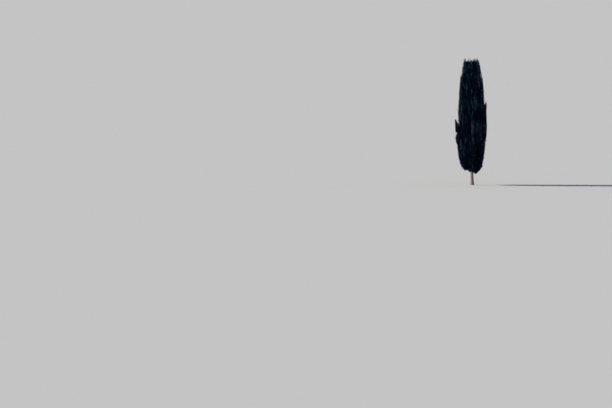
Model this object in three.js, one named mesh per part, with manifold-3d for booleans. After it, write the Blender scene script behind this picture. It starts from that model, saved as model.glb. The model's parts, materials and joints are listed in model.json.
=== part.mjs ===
// A pencil cypress standing alone in a field: a short bare foot of trunk, and a dense column of upright plumes
// of foliage with a broad, ragged top. Millimetres. +Z is up, +X is to the viewer's right, and the viewer looks
// along +Y. The origin is the middle of the flat cut under the trunk, at ground level.
import * as THREE from "three";
import { mergeVertices } from "three/addons/utils/BufferGeometryUtils.js";
import Module from "manifold-3d";

const wasm = await Module();
wasm.setup();

// Driving dimensions of the trunk.
const TREE_HEIGHT = 12000;
const TRUNK_TIP_HEIGHT = 10750;
const TRUNK_RADIUS = 158; // just above the root flare
const TRUNK_TIP_RADIUS = 14;
const TRUNK_BOW = 110; // how far the trunk leans to the left at half its height
const TRUNK_SIDES = 16;
const TRUNK_RINGS = 15;
const FLARE_REACH = 62; // what the widest root ridge adds to the radius at the ground
const FLARE_HEIGHT = 190; // the height over which the flare dies away
const FLARE_RIDGES = 5;

// The outline of the crown: [height, reach to the left, reach to the right] of the foot of the trunk.
const CROWN_OUTLINE = [
  [1150, 420, 410],
  [1500, 760, 710],
  [2000, 1120, 1010],
  [2600, 1250, 1120],
  [3900, 1390, 1280],
  [5500, 1450, 1350],
  [6700, 1400, 1310],
  [8500, 1280, 1140],
  [10000, 1140, 990],
  [10900, 970, 830],
  [11500, 820, 700],
  [12000, 740, 560],
];

// The plumes stand in rings, one above the other, each turned half a step from the one below. A ring's height is
// that of the middle of its plumes. Foot and tip are how far they go below and above it.
const RINGS = [
  { name: "skirt", count: 6, height: 2650, turn: -15, foot: 1400, tip: 2250 },
  { name: "lower", count: 6, height: 4800, turn: 0, foot: 1900, tip: 2250 },
  { name: "middle", count: 6, height: 6950, turn: 30, foot: 1900, tip: 2250 },
  { name: "upper", count: 6, height: 8980, turn: 0, foot: 1800, tip: 2100 },
  { name: "leader", count: 6, height: 10650, turn: 30, foot: 1500, tip: 1000 },
];
const RING_AT = 0.63; // where a ring's plumes have their middle, as a share of the crown's reach
const SKIRT_DROOP = 165; // how much lower the skirt hangs on the right than on the left, from even

// Plumes with a place of their own: the point of the tip, how far they may swell out of the outline, how deep
// the core lies, and how they are turned or lifted from their even place.
const SPECIAL = {
  skirt_165: { tip: [-1570, 340, 4640], swell: 200, depth: 240 },
  skirt_285: { turn: -12 },
  lower_0: { tip: [1280, 20, 7880], swell: 130, depth: 210, lift: 450 },
  lower_180: { tip: [-1645, -40, 6250], swell: 190, depth: 80 },
  lower_240: { lift: -150 },
  lower_300: { lift: -150 },
  middle_90: { lift: 240 },
  middle_270: { climbs: true, footHeight: 5750 },
  leader_30: { tip: [515, 300, 11600] },
  leader_90: { tip: [20, 430, 11740] },
  leader_150: { tip: [-420, 360, 11790] },
  leader_210: { tip: [-710, -210, 11930], swell: 60, depth: 170 },
  leader_270: { tip: [-150, -430, 11760] },
  leader_330: { tip: [400, -260, TREE_HEIGHT] },
};
const CREVICE = { between: ["lower_240", "lower_300"], gap: 60 }; // where a bare bough shows
const CLIMB_FOOT = 3700; // height at which that bough leaves the trunk

// How the space of the crown is shared out.
const BORDER_STEEPNESS = 0.055; // small values make long pointed plumes
const BORDER_TILT = 1.7; // the border between two rings rises this much for each unit outwards
const BORDER_GAP = 12; // each plume keeps this clear of its border
const HOLLOW = 135; // bare space round the trunk
const SCATTER_DEG = 5; // how far a plume may be turned from its even place
const SCATTER_HEIGHT = 190;

// Plumes, boughs and sprays.
const PLUME_HALF_WIDTH = 620;
const CORE_SIDES = 9;
const CORE_RINGS = 7;
const SPRAY_FRINGE = 50; // how far sprays may pass the outline
const CORE_DEPTH = 165; // how far inside that the core lies
const CORE_SHARE = 0.97; // the share of the free space at a core's side that it fills
const CORE_LUMPS = 0.05;
const STEM_TIP_RADIUS = 9;
const LEADER_STEM_RADIUS = 14;
const STEM_SIDES = 5;
const BOUGH_SHARE = 0.22; // a bough's radius as a share of the trunk's, above the least radius
const BOUGH_LEAST_RADIUS = 5;
const CLIMBER_RADIUS = 44; // the bough that shows in the crevice
const BOUGH_TAPER = 0.7;
const BOUGH_SIDES = 6;
const BOUGH_SLOPE = 1.6; // rise for each unit outwards
const TWIG_RADIUS = 11;
const TWIGS_PER_PLUME = 8;
const TIP_SPRAYS = 3; // sprays gathered round the one that leads
const TWIG_STUB = 40; // how far a twig shows beyond the core
const TWIG_SPREAD_DEG = 250; // the twigs face outwards within this angle
const SPRAY_LENGTH = 700;
const LEADER_SPRAY_LENGTH = 500; // the one at the tip of a leader
const SPRAY_WIDTH = 240;
const SPRAY_THICKNESS = 24;
const SPRAY_SUNK = 0.24; // share of a spray's length inside what carries it
const SPRAY_OUTLINE = [
  [0, 0],
  [0.66, -0.48],
  [0.76, -0.19],
  [1, 0.03],
  [0.66, 0.22],
  [0.52, 0.52],
]; // shares of the length and the width, counter-clockwise: root, tooth, notch, apex, notch, tooth
const SPRAY_RIDGE = 0.46; // where a spray is thickest
const TOUCH_GAP = 0.3;
const CLEAN_UP = 0.15; // edges shorter than this are closed up after joining

const UP = new THREE.Vector3(0, 0, 1);
const GOLDEN = 0.6180339887;
const SEED = 20417;

const BARK = new THREE.MeshStandardMaterial({ name: "bark", color: 0x8a7f7c, roughness: 0.95 });
const FOLIAGE = new THREE.MeshStandardMaterial({ name: "foliage", color: 0x16261c, roughness: 0.9 });

// A repeatable source of numbers from 0 to 1.
function randomSource(seed) {
  let state = seed >>> 0;
  return () => {
    state = (state + 0x6d2b79f5) >>> 0;
    let t = Math.imul(state ^ (state >>> 15), state | 1);
    t ^= t + Math.imul(t ^ (t >>> 7), t | 61);
    return ((t ^ (t >>> 14)) >>> 0) / 2 ** 32;
  };
}

const radians = THREE.MathUtils.degToRad;
const lerp = THREE.MathUtils.lerp;
const heading = (angle) => new THREE.Vector3(Math.cos(angle), Math.sin(angle), 0);

// The reach of the crown at a height: a circle with its own middle, because the two sides differ.
function crownAt(height) {
  const last = CROWN_OUTLINE.length - 1;
  let i = 0;
  while (i < last - 1 && CROWN_OUTLINE[i + 1][0] < height) i += 1;
  const [below, above] = [CROWN_OUTLINE[i], CROWN_OUTLINE[i + 1]];
  const share = THREE.MathUtils.clamp((height - below[0]) / (above[0] - below[0]), 0, 1);
  const left = lerp(below[1], above[1], share);
  const right = lerp(below[2], above[2], share);
  return { middle: (right - left) / 2, reach: (left + right) / 2 };
}

// How far a point lies from the middle of the crown, less the crown's reach there: below 0 is inside.
function pastOutline(point) {
  const { middle, reach } = crownAt(point.z);
  return Math.hypot(point.x - middle, point.y) - reach;
}

// The point in the crown at an azimuth, a height and a distance from the crown's middle.
function crownPoint(azimuth, distance, height) {
  return heading(azimuth)
    .multiplyScalar(distance)
    .add(new THREE.Vector3(crownAt(height).middle, 0, height));
}

const trunkBow = (height) => -TRUNK_BOW * Math.sin((Math.PI * height) / TRUNK_TIP_HEIGHT);

function trunkRadius(height, angle = 0) {
  const taper = lerp(TRUNK_RADIUS, TRUNK_TIP_RADIUS, (height / TRUNK_TIP_HEIGHT) ** 0.9);
  const ridge = 0.6 + 0.4 * Math.cos(FLARE_RIDGES * angle + 0.8);
  const flute = 1 + 0.035 * Math.cos(3 * angle + height / 900);
  return taper * flute + FLARE_REACH * ridge * Math.exp(-height / FLARE_HEIGHT);
}

// Moves each vertex of a geometry to where place puts it, and returns the geometry.
function shaped(geometry, place) {
  const at = geometry.attributes.position;
  const vertex = new THREE.Vector3();
  for (let i = 0; i < at.count; i += 1) {
    const moved = place(vertex.fromBufferAttribute(at, i));
    at.setXYZ(i, moved.x, moved.y, moved.z);
  }
  return geometry;
}

// The closed solid of a geometry.
function solid(geometry) {
  geometry.deleteAttribute("normal");
  geometry.deleteAttribute("uv");
  const merged = mergeVertices(geometry, 1e-3);
  const vertProperties = new Float32Array(merged.attributes.position.array);
  const triVerts = new Uint32Array(merged.index.array);
  return new wasm.Manifold(new wasm.Mesh({ numProp: 3, vertProperties, triVerts }));
}

// The surface of a solid.
function surfaceOf(made) {
  const { vertProperties, triVerts } = made.getMesh();
  const geometry = new THREE.BufferGeometry();
  geometry.setAttribute("position", new THREE.BufferAttribute(new Float32Array(vertProperties), 3));
  geometry.setIndex(new THREE.BufferAttribute(new Uint32Array(triVerts), 1));
  return geometry;
}

// Solids joined into one. Slivers are cleaned up, narrow throats close, and then loose scraps and the pockets
// that are shut inside are left out, so that one whole body remains.
function joined(solids) {
  const whole = solid(surfaceOf(wasm.Manifold.union(solids).simplify(CLEAN_UP)));
  return whole.decompose().reduce((most, body) => (body.volume() > most.volume() ? body : most));
}

function meshOf(name, made, material) {
  const mesh = new THREE.Mesh(surfaceOf(made), material);
  mesh.geometry.computeVertexNormals();
  mesh.name = name;
  return mesh;
}

// The trunk, thicker all round by extra.
function trunkSolid(extra = 0) {
  const cylinder = new THREE.CylinderGeometry(1, 1, 1, TRUNK_SIDES, TRUNK_RINGS);
  return solid(
    shaped(cylinder, (v) => {
      const height = TRUNK_TIP_HEIGHT * (v.y + 0.5) ** 1.8;
      const angle = Math.atan2(-v.z, v.x);
      const radius = Math.hypot(v.x, v.z) * (trunkRadius(height, angle) + extra);
      return heading(angle)
        .multiplyScalar(radius)
        .add(new THREE.Vector3(trunkBow(height), 0, height));
    }),
  );
}

// A tapering limb round a curve, with flat ends square to it.
function limb(curve, startRadius, endRadius, sides, rings, reference = UP) {
  const cylinder = new THREE.CylinderGeometry(1, 1, 1, sides, rings);
  return solid(
    shaped(cylinder, (v) => {
      const along = THREE.MathUtils.clamp(v.y + 0.5, 0, 1);
      const ahead = curve.getTangent(along);
      const side = reference.clone().addScaledVector(ahead, -reference.dot(ahead)).normalize();
      const across = ahead.clone().cross(side);
      const radius = lerp(startRadius, endRadius, along);
      return curve
        .getPoint(along)
        .addScaledVector(side, radius * v.x)
        .addScaledVector(across, radius * -v.z);
    }),
  );
}

// Every plume's name, middle and wishes, ring by ring.
function plumePlaces() {
  const places = [];
  for (const ring of RINGS) {
    for (let i = 0; i < ring.count; i += 1) {
      const even = (ring.turn + (i * 360) / ring.count + 360) % 360;
      const name = `${ring.name}_${Math.round(even)}`;
      const own = SPECIAL[name];
      const random = randomSource(SEED + places.length);
      const turn = own ? (own.turn ?? 0) : SCATTER_DEG * (2 * random() - 1);
      const lift = own ? (own.lift ?? 0) : SCATTER_HEIGHT * (2 * random() - 1);
      const azimuth = radians(even + turn);
      const droop = ring.name === "skirt" ? SKIRT_DROOP * Math.cos(azimuth) : 0;
      const height = ring.height + lift;
      const middle = crownPoint(azimuth, RING_AT * crownAt(height).reach, height);
      const footHeight = own?.footHeight ?? height - ring.foot - droop;
      const tipHeight = height + ring.tip;
      const wanted = own?.tip
        ? new THREE.Vector3(...own.tip)
        : crownPoint(azimuth, 0.86 * crownAt(tipHeight).reach, tipHeight);
      places.push({
        name,
        azimuth,
        middle,
        footHeight,
        wanted,
        index: places.length,
        outward: heading(azimuth),
        exact: Boolean(own?.tip),
        tipLength: ring.name === "leader" ? LEADER_SPRAY_LENGTH : SPRAY_LENGTH,
        climbs: Boolean(own?.climbs),
        leads: ring.name === "leader",
        swell: own?.swell ?? SPRAY_FRINGE,
        depth: own?.depth ?? CORE_DEPTH,
      });
    }
  }
  return places;
}

// The plane that parts two plumes. Its normal points from a to b. It is steep, so that plumes are long, and
// between two rings it also rises outwards, so that a plume's tip lies outside the foot of the one above.
function border(a, b) {
  const way = b.middle.clone().sub(a.middle);
  const outward = a.middle.clone().add(b.middle).setZ(0).normalize();
  const lift = BORDER_STEEPNESS * way.z;
  const normal = new THREE.Vector3(way.x, way.y, lift).addScaledVector(outward, -BORDER_TILT * lift);
  const between = a.middle.clone().lerp(b.middle, 0.5);
  return new THREE.Plane().setFromNormalAndCoplanarPoint(normal.normalize(), between);
}

// The space of a plume: planes that it stays behind, one for each other plume and one for the trunk's hollow.
function spaceOf(plume, plumes) {
  const planes = [];
  for (const other of plumes) {
    if (other === plume) continue;
    const plane = border(plume, other);
    const names = [plume.name, other.name];
    const gap = CREVICE.between.every((name) => names.includes(name)) ? CREVICE.gap : BORDER_GAP;
    plane.constant += gap;
    planes.push(plane);
  }
  const heights = [-2000, -1000, 0, 1000, 2000].map((step) => plume.middle.z + step);
  const sides = heights
    .filter((height) => height < TRUNK_TIP_HEIGHT)
    .map((height) => trunkBow(height) * plume.outward.x + trunkRadius(height));
  const keep = Math.max(...sides) + Math.min(HOLLOW, 30 + trunkRadius(plume.middle.z));
  planes.push(new THREE.Plane(plume.outward.clone().negate(), keep));
  return { planes, keep, swell: plume.swell, depth: plume.depth };
}

// How far inside its space a point lies.
function clearance(space, point) {
  return Math.min(...space.planes.map((plane) => -plane.distanceToPoint(point)));
}

// True if a point is in the plume's space and under the crown's outline.
function inReach(space, point) {
  const outside = pastOutline(point) > space.swell || point.z > TREE_HEIGHT + 1;
  return !outside && clearance(space, point) > 0;
}

// How far one may go from a point in a level direction, staying in the space and inside the core's outline.
function room(space, from, direction) {
  const { middle, reach } = crownAt(from.z);
  const offset = from.clone().setZ(0).sub(new THREE.Vector3(middle, 0, 0));
  const radius = Math.max(reach + space.swell - space.depth, 60);
  const inward = offset.dot(direction);
  const inside = inward * inward + radius * radius - offset.lengthSq();
  let free = inside > 0 ? Math.sqrt(inside) - inward : 0;
  for (const plane of space.planes) {
    const closing = plane.normal.dot(direction);
    if (closing > 1e-6) free = Math.min(free, -plane.distanceToPoint(from) / closing);
  }
  return free;
}

// The point nearest to end, on the way to it from the middle, that still has free space round it.
function settled(space, middle, end, free) {
  const steps = 80;
  let found = middle;
  for (let i = 1; i <= steps; i += 1) {
    const point = middle.clone().lerp(end, i / steps);
    if (clearance(space, point) < free || pastOutline(point) > space.swell - free) break;
    found = point;
  }
  return found;
}

// A plume's axis, from its low inner foot to its high outer tip. The spray that leads goes on from there.
function axisOf(plume) {
  const { azimuth, middle, space, footHeight, wanted, tipLength } = plume;
  const footAt = Math.max(0.58 * crownAt(footHeight).reach, space.keep + 55);
  const foot = settled(space, middle, crownPoint(azimuth, footAt, footHeight), 45);
  const lead = wanted.clone().sub(middle).normalize().lerp(UP, 0.35).normalize();
  const before = wanted.clone().addScaledVector(lead, -(1 - SPRAY_SUNK) * tipLength);
  const tip = plume.exact ? before : settled(space, middle, before, 35);
  return new THREE.CatmullRomCurve3([foot, middle, tip]);
}

// The width of a plume along its axis, from 0 at the foot, full below the middle, to a long point. The leaders
// are blunter, because the tree's head is broad.
function flame(plume, along) {
  const foot = Math.sqrt(Math.min(1, along / 0.14));
  const closing = Math.max(0, (along - 0.4) / 0.6) ** (plume.leads ? 2.4 : 1.5);
  return foot * Math.max(Math.cos((Math.PI / 2) * closing), 0);
}

// The radius of a plume's core at a share of its axis and in a level direction. Ridges run up it in a slow twist.
function coreRadius(plume, along, angle) {
  const ridges = 1 - CORE_LUMPS * (1 + Math.sin(3 * angle + 9 * along + plume.index));
  const free = room(plume.space, plume.axis.getPoint(along), heading(angle));
  return Math.max(0, Math.min(PLUME_HALF_WIDTH * flame(plume, along), CORE_SHARE * free) * ridges);
}

function coreSolid(plume) {
  const sphere = new THREE.SphereGeometry(1, CORE_SIDES, CORE_RINGS);
  return solid(
    shaped(sphere, (v) => {
      const along = Math.acos(THREE.MathUtils.clamp(-v.y, -1, 1)) / Math.PI;
      const angle = Math.atan2(-v.z, v.x);
      const atPole = Math.hypot(v.x, v.z) < 1e-6;
      const radius = atPole ? 0 : coreRadius(plume, along, angle);
      return plume.axis.getPoint(along).addScaledVector(heading(angle), radius);
    }),
  );
}

// A spray of foliage as one toothed blade: root, direction, and the way its flat side faces.
function spray(root, ahead, facing, length) {
  const side = facing.clone().cross(ahead).normalize();
  const out = ahead.clone().cross(side);
  const width = (SPRAY_WIDTH * length) / SPRAY_LENGTH;
  const ridge = SPRAY_THICKNESS / 2;
  const points = SPRAY_OUTLINE.map(([along, across]) =>
    root.clone().addScaledVector(ahead, along * length).addScaledVector(side, across * width),
  );
  const thick = root.clone().addScaledVector(ahead, SPRAY_RIDGE * length);
  const teeth = points.length;
  const pillow = new THREE.SphereGeometry(1, teeth, 2);
  const blade = shaped(pillow, (v) => {
    if (Math.abs(v.y) > 0.5) return thick.clone().addScaledVector(out, ridge * Math.sign(v.y));
    const turn = Math.atan2(-v.z, v.x) / (2 * Math.PI);
    return points[(Math.round(turn * teeth) + teeth) % teeth];
  });
  return { blade, points: [...points, thick] };
}

// The stem of a plume: from its bough's tip, or from inside the trunk, up the axis to the tip.
function stemCurve(plume) {
  const { axis, space, outward } = plume;
  const end = axis.getPoint(0.96);
  if (plume.climbs) {
    const foot = axis.getPoint(0);
    const start = foot.clone().addScaledVector(UP, -120);
    return new THREE.CatmullRomCurve3([start, foot, axis.getPoint(0.5), end]);
  }
  const joint = axis.getPoint(plume.leads ? 0.22 + 0.05 * (plume.index % 5) : 0.24);
  const slope = outward.clone().addScaledVector(UP, BOUGH_SLOPE);
  const inner = plume.leads ? trunkBow(joint.z) * outward.x : space.keep - 22;
  const start = joint.clone().addScaledVector(slope, inner - joint.dot(outward));
  const next = start.clone().lerp(joint, 0.5);
  return new THREE.CatmullRomCurve3([start, next, joint, axis.getPoint(0.6), end]);
}

// How thick a plume's bough is where it leaves the trunk.
function boughRadius(plume) {
  if (plume.climbs) return CLIMBER_RADIUS;
  return BOUGH_LEAST_RADIUS + BOUGH_SHARE * trunkRadius(plume.stem.getPoint(0).z);
}

// The bough that carries a plume: from inside the trunk to where the plume's stem starts.
function boughCurve(plume) {
  const { stem, outward } = plume;
  const start = stem.getPoint(0);
  const ahead = stem.getTangent(0);
  const tip = start.clone().addScaledVector(ahead, -TOUCH_GAP);
  const before = start.clone().addScaledVector(ahead, -90);
  const inside = tip.dot(outward) - trunkBow(tip.z) * outward.x - 30;
  if (plume.climbs) {
    const root = new THREE.Vector3(trunkBow(CLIMB_FOOT), 0, CLIMB_FOOT);
    const knee = start.clone().setZ(CLIMB_FOOT + BOUGH_SLOPE * inside);
    const elbow = root.clone().lerp(knee, 0.55).addScaledVector(UP, 60);
    return new THREE.CatmullRomCurve3([root, elbow, knee, before, tip]);
  }
  const slope = outward.clone().addScaledVector(UP, BOUGH_SLOPE);
  const root = tip.clone().addScaledVector(slope, -inside);
  return new THREE.CatmullRomCurve3([root, before, tip]);
}

// The twigs of a plume with their sprays. The twigs leave the stem one after another, each turned by the golden
// share of the side that faces out. A spray that would leave the plume's space is tried shorter, then left out.
function foliageOf(plume) {
  const random = randomSource(SEED * 3 + plume.index);
  const solids = [];
  const grow = (carrier, ahead, facing, length) => {
    for (const size of [length, 0.82 * length, 0.66 * length]) {
      const root = carrier.clone().addScaledVector(ahead, -SPRAY_SUNK * size);
      const { blade, points } = spray(root, ahead, facing, size);
      if (points.every((point) => inReach(plume.space, point))) {
        solids.push(solid(blade));
        return true;
      }
    }
    return false;
  };
  for (let i = 0; i < TWIGS_PER_PLUME; i += 1) {
    const along = lerp(0.03, 0.93, (i + 0.5) / TWIGS_PER_PLUME);
    const swing = (((i + plume.index) * GOLDEN) % 1) - 0.5;
    const angle = plume.azimuth + radians(TWIG_SPREAD_DEG) * swing;
    const aside = heading(angle);
    const shoot = Math.max(0, Math.min(TWIG_STUB, room(plume.space, plume.axis.getPoint(along), aside)));
    const end = plume.axis.getPoint(along).addScaledVector(aside, coreRadius(plume, along, angle) + shoot);
    const base = plume.axis.getPoint(Math.max(0.02, along - 0.12));
    const lean = lerp(0.29, 0.18, along) + 0.12 * (random() - 0.5);
    const facing = aside.clone().applyAxisAngle(UP, 2 * (random() - 0.5));
    const size = SPRAY_LENGTH * lerp(1.05, 0.75, along) * (0.85 + 0.3 * random());
    const ahead = UP.clone().addScaledVector(aside, lean).normalize();
    const grown = grow(end, ahead, facing, size);
    const beside = aside.clone().applyAxisAngle(UP, random() < 0.5 ? 0.9 : -0.9);
    const second = UP.clone().addScaledVector(beside, 1.1 * lean).normalize();
    grow(end.clone().lerp(base, 0.3).addScaledVector(UP, -0.2 * size), second, beside, 0.9 * size);
    if (grown) solids.push(limb(new THREE.LineCurve3(base, end), TWIG_RADIUS, 0.6 * TWIG_RADIUS, 3, 1, aside));
  }
  const lead = plume.axis.getTangent(1).lerp(UP, 0.35).normalize();
  grow(plume.axis.getPoint(1), lead, plume.outward, plume.tipLength);
  for (let i = 0; i < TIP_SPRAYS; i += 1) {
    const aside = plume.outward.clone().applyAxisAngle(UP, (2 * Math.PI * (i + random())) / TIP_SPRAYS);
    const carrier = plume.axis.getPoint(lerp(0.97, 0.82, i / TIP_SPRAYS)).addScaledVector(aside, 30);
    const ahead = lead.clone().addScaledVector(aside, 0.22 + 0.12 * random()).normalize();
    grow(carrier, ahead, aside, plume.tipLength * (1 - 0.25 * random()));
  }
  return solids;
}

const trunk = trunkSolid();
const trunkWithGap = trunkSolid(TOUCH_GAP);

const cypress = new THREE.Group();
cypress.name = "pencil_cypress";
cypress.add(meshOf("trunk", trunk, BARK));

const plumes = plumePlaces();
for (const plume of plumes) {
  plume.space = spaceOf(plume, plumes);
  plume.axis = axisOf(plume);
  plume.stem = stemCurve(plume);
  const thick = plume.leads ? LEADER_STEM_RADIUS : BOUGH_TAPER * boughRadius(plume);
  const stem = limb(plume.stem, thick, STEM_TIP_RADIUS, STEM_SIDES, 5, plume.outward);
  const mass = joined([coreSolid(plume), stem, ...foliageOf(plume)]);
  cypress.add(meshOf(`plume_${plume.name}`, joined([mass.subtract(trunkWithGap)]), FOLIAGE));
  if (plume.leads) continue;
  const curve = boughCurve(plume);
  const rings = plume.climbs ? 9 : 2;
  const bough = limb(curve, boughRadius(plume), thick, BOUGH_SIDES, rings, plume.outward);
  cypress.add(meshOf(`bough_${plume.name}`, joined([bough.subtract(trunkWithGap)]), BARK));
}

export default cypress;
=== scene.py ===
"""The looks of a pencil cypress that stands alone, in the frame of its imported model.

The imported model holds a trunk, its boughs and thirty plain masses of foliage, called plumes. Here the
trunk and the boughs get a mesh with the relief of their bark. Each plume is replaced by a stem, shoots and
small sprays, which are grown by the rule that made the plume, written again here, and which stay inside the
same space. Metres, +Z is up, +X is to the viewer's right, and the viewer looks along +Y.
"""

from __future__ import annotations

import json
import logging
import math
from collections.abc import Sequence
from dataclasses import dataclass, field, fields, replace
from enum import Enum, IntEnum

import bpy
import numpy as np
from mathutils import Matrix, Vector, noise

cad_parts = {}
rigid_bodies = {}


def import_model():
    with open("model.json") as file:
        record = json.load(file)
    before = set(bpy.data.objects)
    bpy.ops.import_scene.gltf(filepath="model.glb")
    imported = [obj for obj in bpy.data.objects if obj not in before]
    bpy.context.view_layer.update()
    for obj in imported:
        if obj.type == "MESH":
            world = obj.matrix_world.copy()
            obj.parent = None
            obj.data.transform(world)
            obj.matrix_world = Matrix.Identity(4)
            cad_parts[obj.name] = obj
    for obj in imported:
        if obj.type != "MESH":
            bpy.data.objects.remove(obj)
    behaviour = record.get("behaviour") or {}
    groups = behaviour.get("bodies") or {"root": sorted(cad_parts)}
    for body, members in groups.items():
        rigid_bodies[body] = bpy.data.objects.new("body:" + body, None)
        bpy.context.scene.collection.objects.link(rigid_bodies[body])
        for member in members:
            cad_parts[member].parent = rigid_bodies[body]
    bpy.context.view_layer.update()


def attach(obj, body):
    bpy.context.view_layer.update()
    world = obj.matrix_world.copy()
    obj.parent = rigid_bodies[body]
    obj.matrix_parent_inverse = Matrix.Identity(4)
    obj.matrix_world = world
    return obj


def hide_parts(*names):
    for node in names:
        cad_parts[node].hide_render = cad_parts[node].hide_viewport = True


log = logging.getLogger("cypress")

Vec = np.ndarray
Pair = tuple[float, float]
Triple = tuple[float, float, float]
Socket = bpy.types.NodeSocket
Mesh = bpy.types.Mesh
UP = np.array([0.0, 0.0, 1.0])
RIGHT = np.array([1.0, 0.0, 0.0])
GOLDEN = 0.6180339887
FULL_TURN = 2 * math.pi
BODY = "root"


def heading(angle: float | Vec) -> Vec:
    """The level direction at an angle from +X, or one row for each of several angles."""
    angle = np.asarray(angle, float)
    return np.stack([np.cos(angle), np.sin(angle), np.zeros_like(angle)], axis=-1)


def quarter_left(level: Vec) -> Vec:
    """The level direction a quarter turn to the left of another."""
    return np.array([-level[1], level[0], 0.0])


def unit(vectors: Vec) -> Vec:
    """A vector, or each row of several, at length 1."""
    return vectors / np.linalg.norm(vectors, axis=-1, keepdims=True)


def lerp(start: float | Vec, end: float | Vec, share: float | Vec) -> float | Vec:
    """The value at a share of the way from start to end."""
    return start + (end - start) * share


def dot(first: Vec, second: Vec) -> Vec:
    """The dot product of two vectors, or row by row, ready to scale rows."""
    return np.sum(first * second, axis=-1, keepdims=True)


def turned(vectors: Vec, axes: Vec, angles: float | Vec) -> Vec:
    """A vector turned round an axis of length 1, or row by row.

    Args:
        vectors: What is turned.
        axes: The axes.
        angles: The angles in radians.

    Returns:
        The turned vectors.
    """
    angles = np.asarray(angles, float)[..., None]
    inline = axes * dot(axes, vectors)
    return inline + (vectors - inline) * np.cos(angles) + np.cross(axes, vectors) * np.sin(angles)


class Draws:
    """Repeatable numbers from 0 to 1, drawn as the model of the plumes draws them."""

    MASK = 0xFFFFFFFF
    STEP = 0x6D2B79F5

    def __init__(self, seed: int) -> None:
        """Start a row of numbers.

        Args:
            seed: The number that the row follows from.
        """
        self.state = seed & self.MASK

    def next(self) -> float:
        """Draw a number.

        Returns:
            The next number of the row.
        """
        self.state = (self.state + self.STEP) & self.MASK
        mixed = ((self.state ^ (self.state >> 15)) * (self.state | 1)) & self.MASK
        mixed ^= (mixed + (mixed ^ (mixed >> 7)) * (mixed | 61)) & self.MASK
        return ((mixed ^ (mixed >> 14)) & self.MASK) / 2**32

    def between(self, low: float, high: float) -> float:
        """The next number, spread from low to high."""
        return lerp(low, high, self.next())


class Course:
    """A smooth centripetal curve through a few points."""

    TANGENT_STEP = 1e-4

    def __init__(self, knots: Sequence[Vec]) -> None:
        """Lay the curve.

        Args:
            knots: The points that it passes, two or more.
        """
        inner = np.array(knots, float)
        before = 2 * inner[0] - inner[1]
        after = 2 * inner[-1] - inner[-2]
        self.knots = np.vstack([before, inner, after])

    def points(self, shares: Vec) -> Vec:
        """Points on the curve.

        Args:
            shares: Where, from 0 to 1, with an even share for each stretch between knots.

        Returns:
            One row for each share.
        """
        spans = len(self.knots) - 3
        place = np.clip(np.asarray(shares, float), 0, 1) * spans
        span = np.minimum(place.astype(int), spans - 1)
        weight = (place - span)[:, None]
        a, b, c, d = (self.knots[span + step] for step in range(4))
        pairs = ((a, b), (b, c), (c, d))
        ab, bc, cd = (np.linalg.norm(q - p, axis=1, keepdims=True) ** 0.5 for p, q in pairs)
        leaving = ((b - a) / ab - (c - a) / (ab + bc)) * bc + (c - b)
        arriving = ((d - c) / cd - (d - b) / (bc + cd)) * bc + (c - b)
        square = 3 * (c - b) - 2 * leaving - arriving
        cube = 2 * (b - c) + leaving + arriving
        return b + weight * (leaving + weight * (square + weight * cube))

    def point(self, share: float) -> Vec:
        """The point at a share of the curve."""
        return self.points(np.array([share]))[0]

    def aheads(self, shares: Vec) -> Vec:
        """The directions in which the curve runs at shares of it, one row for each."""
        shares = np.clip(shares, self.TANGENT_STEP, 1 - self.TANGENT_STEP)
        return unit(self.points(shares + self.TANGENT_STEP) - self.points(shares - self.TANGENT_STEP))

    def ahead(self, share: float) -> Vec:
        """The direction in which the curve runs at a share of it."""
        return self.aheads(np.array([share]))[0]


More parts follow.
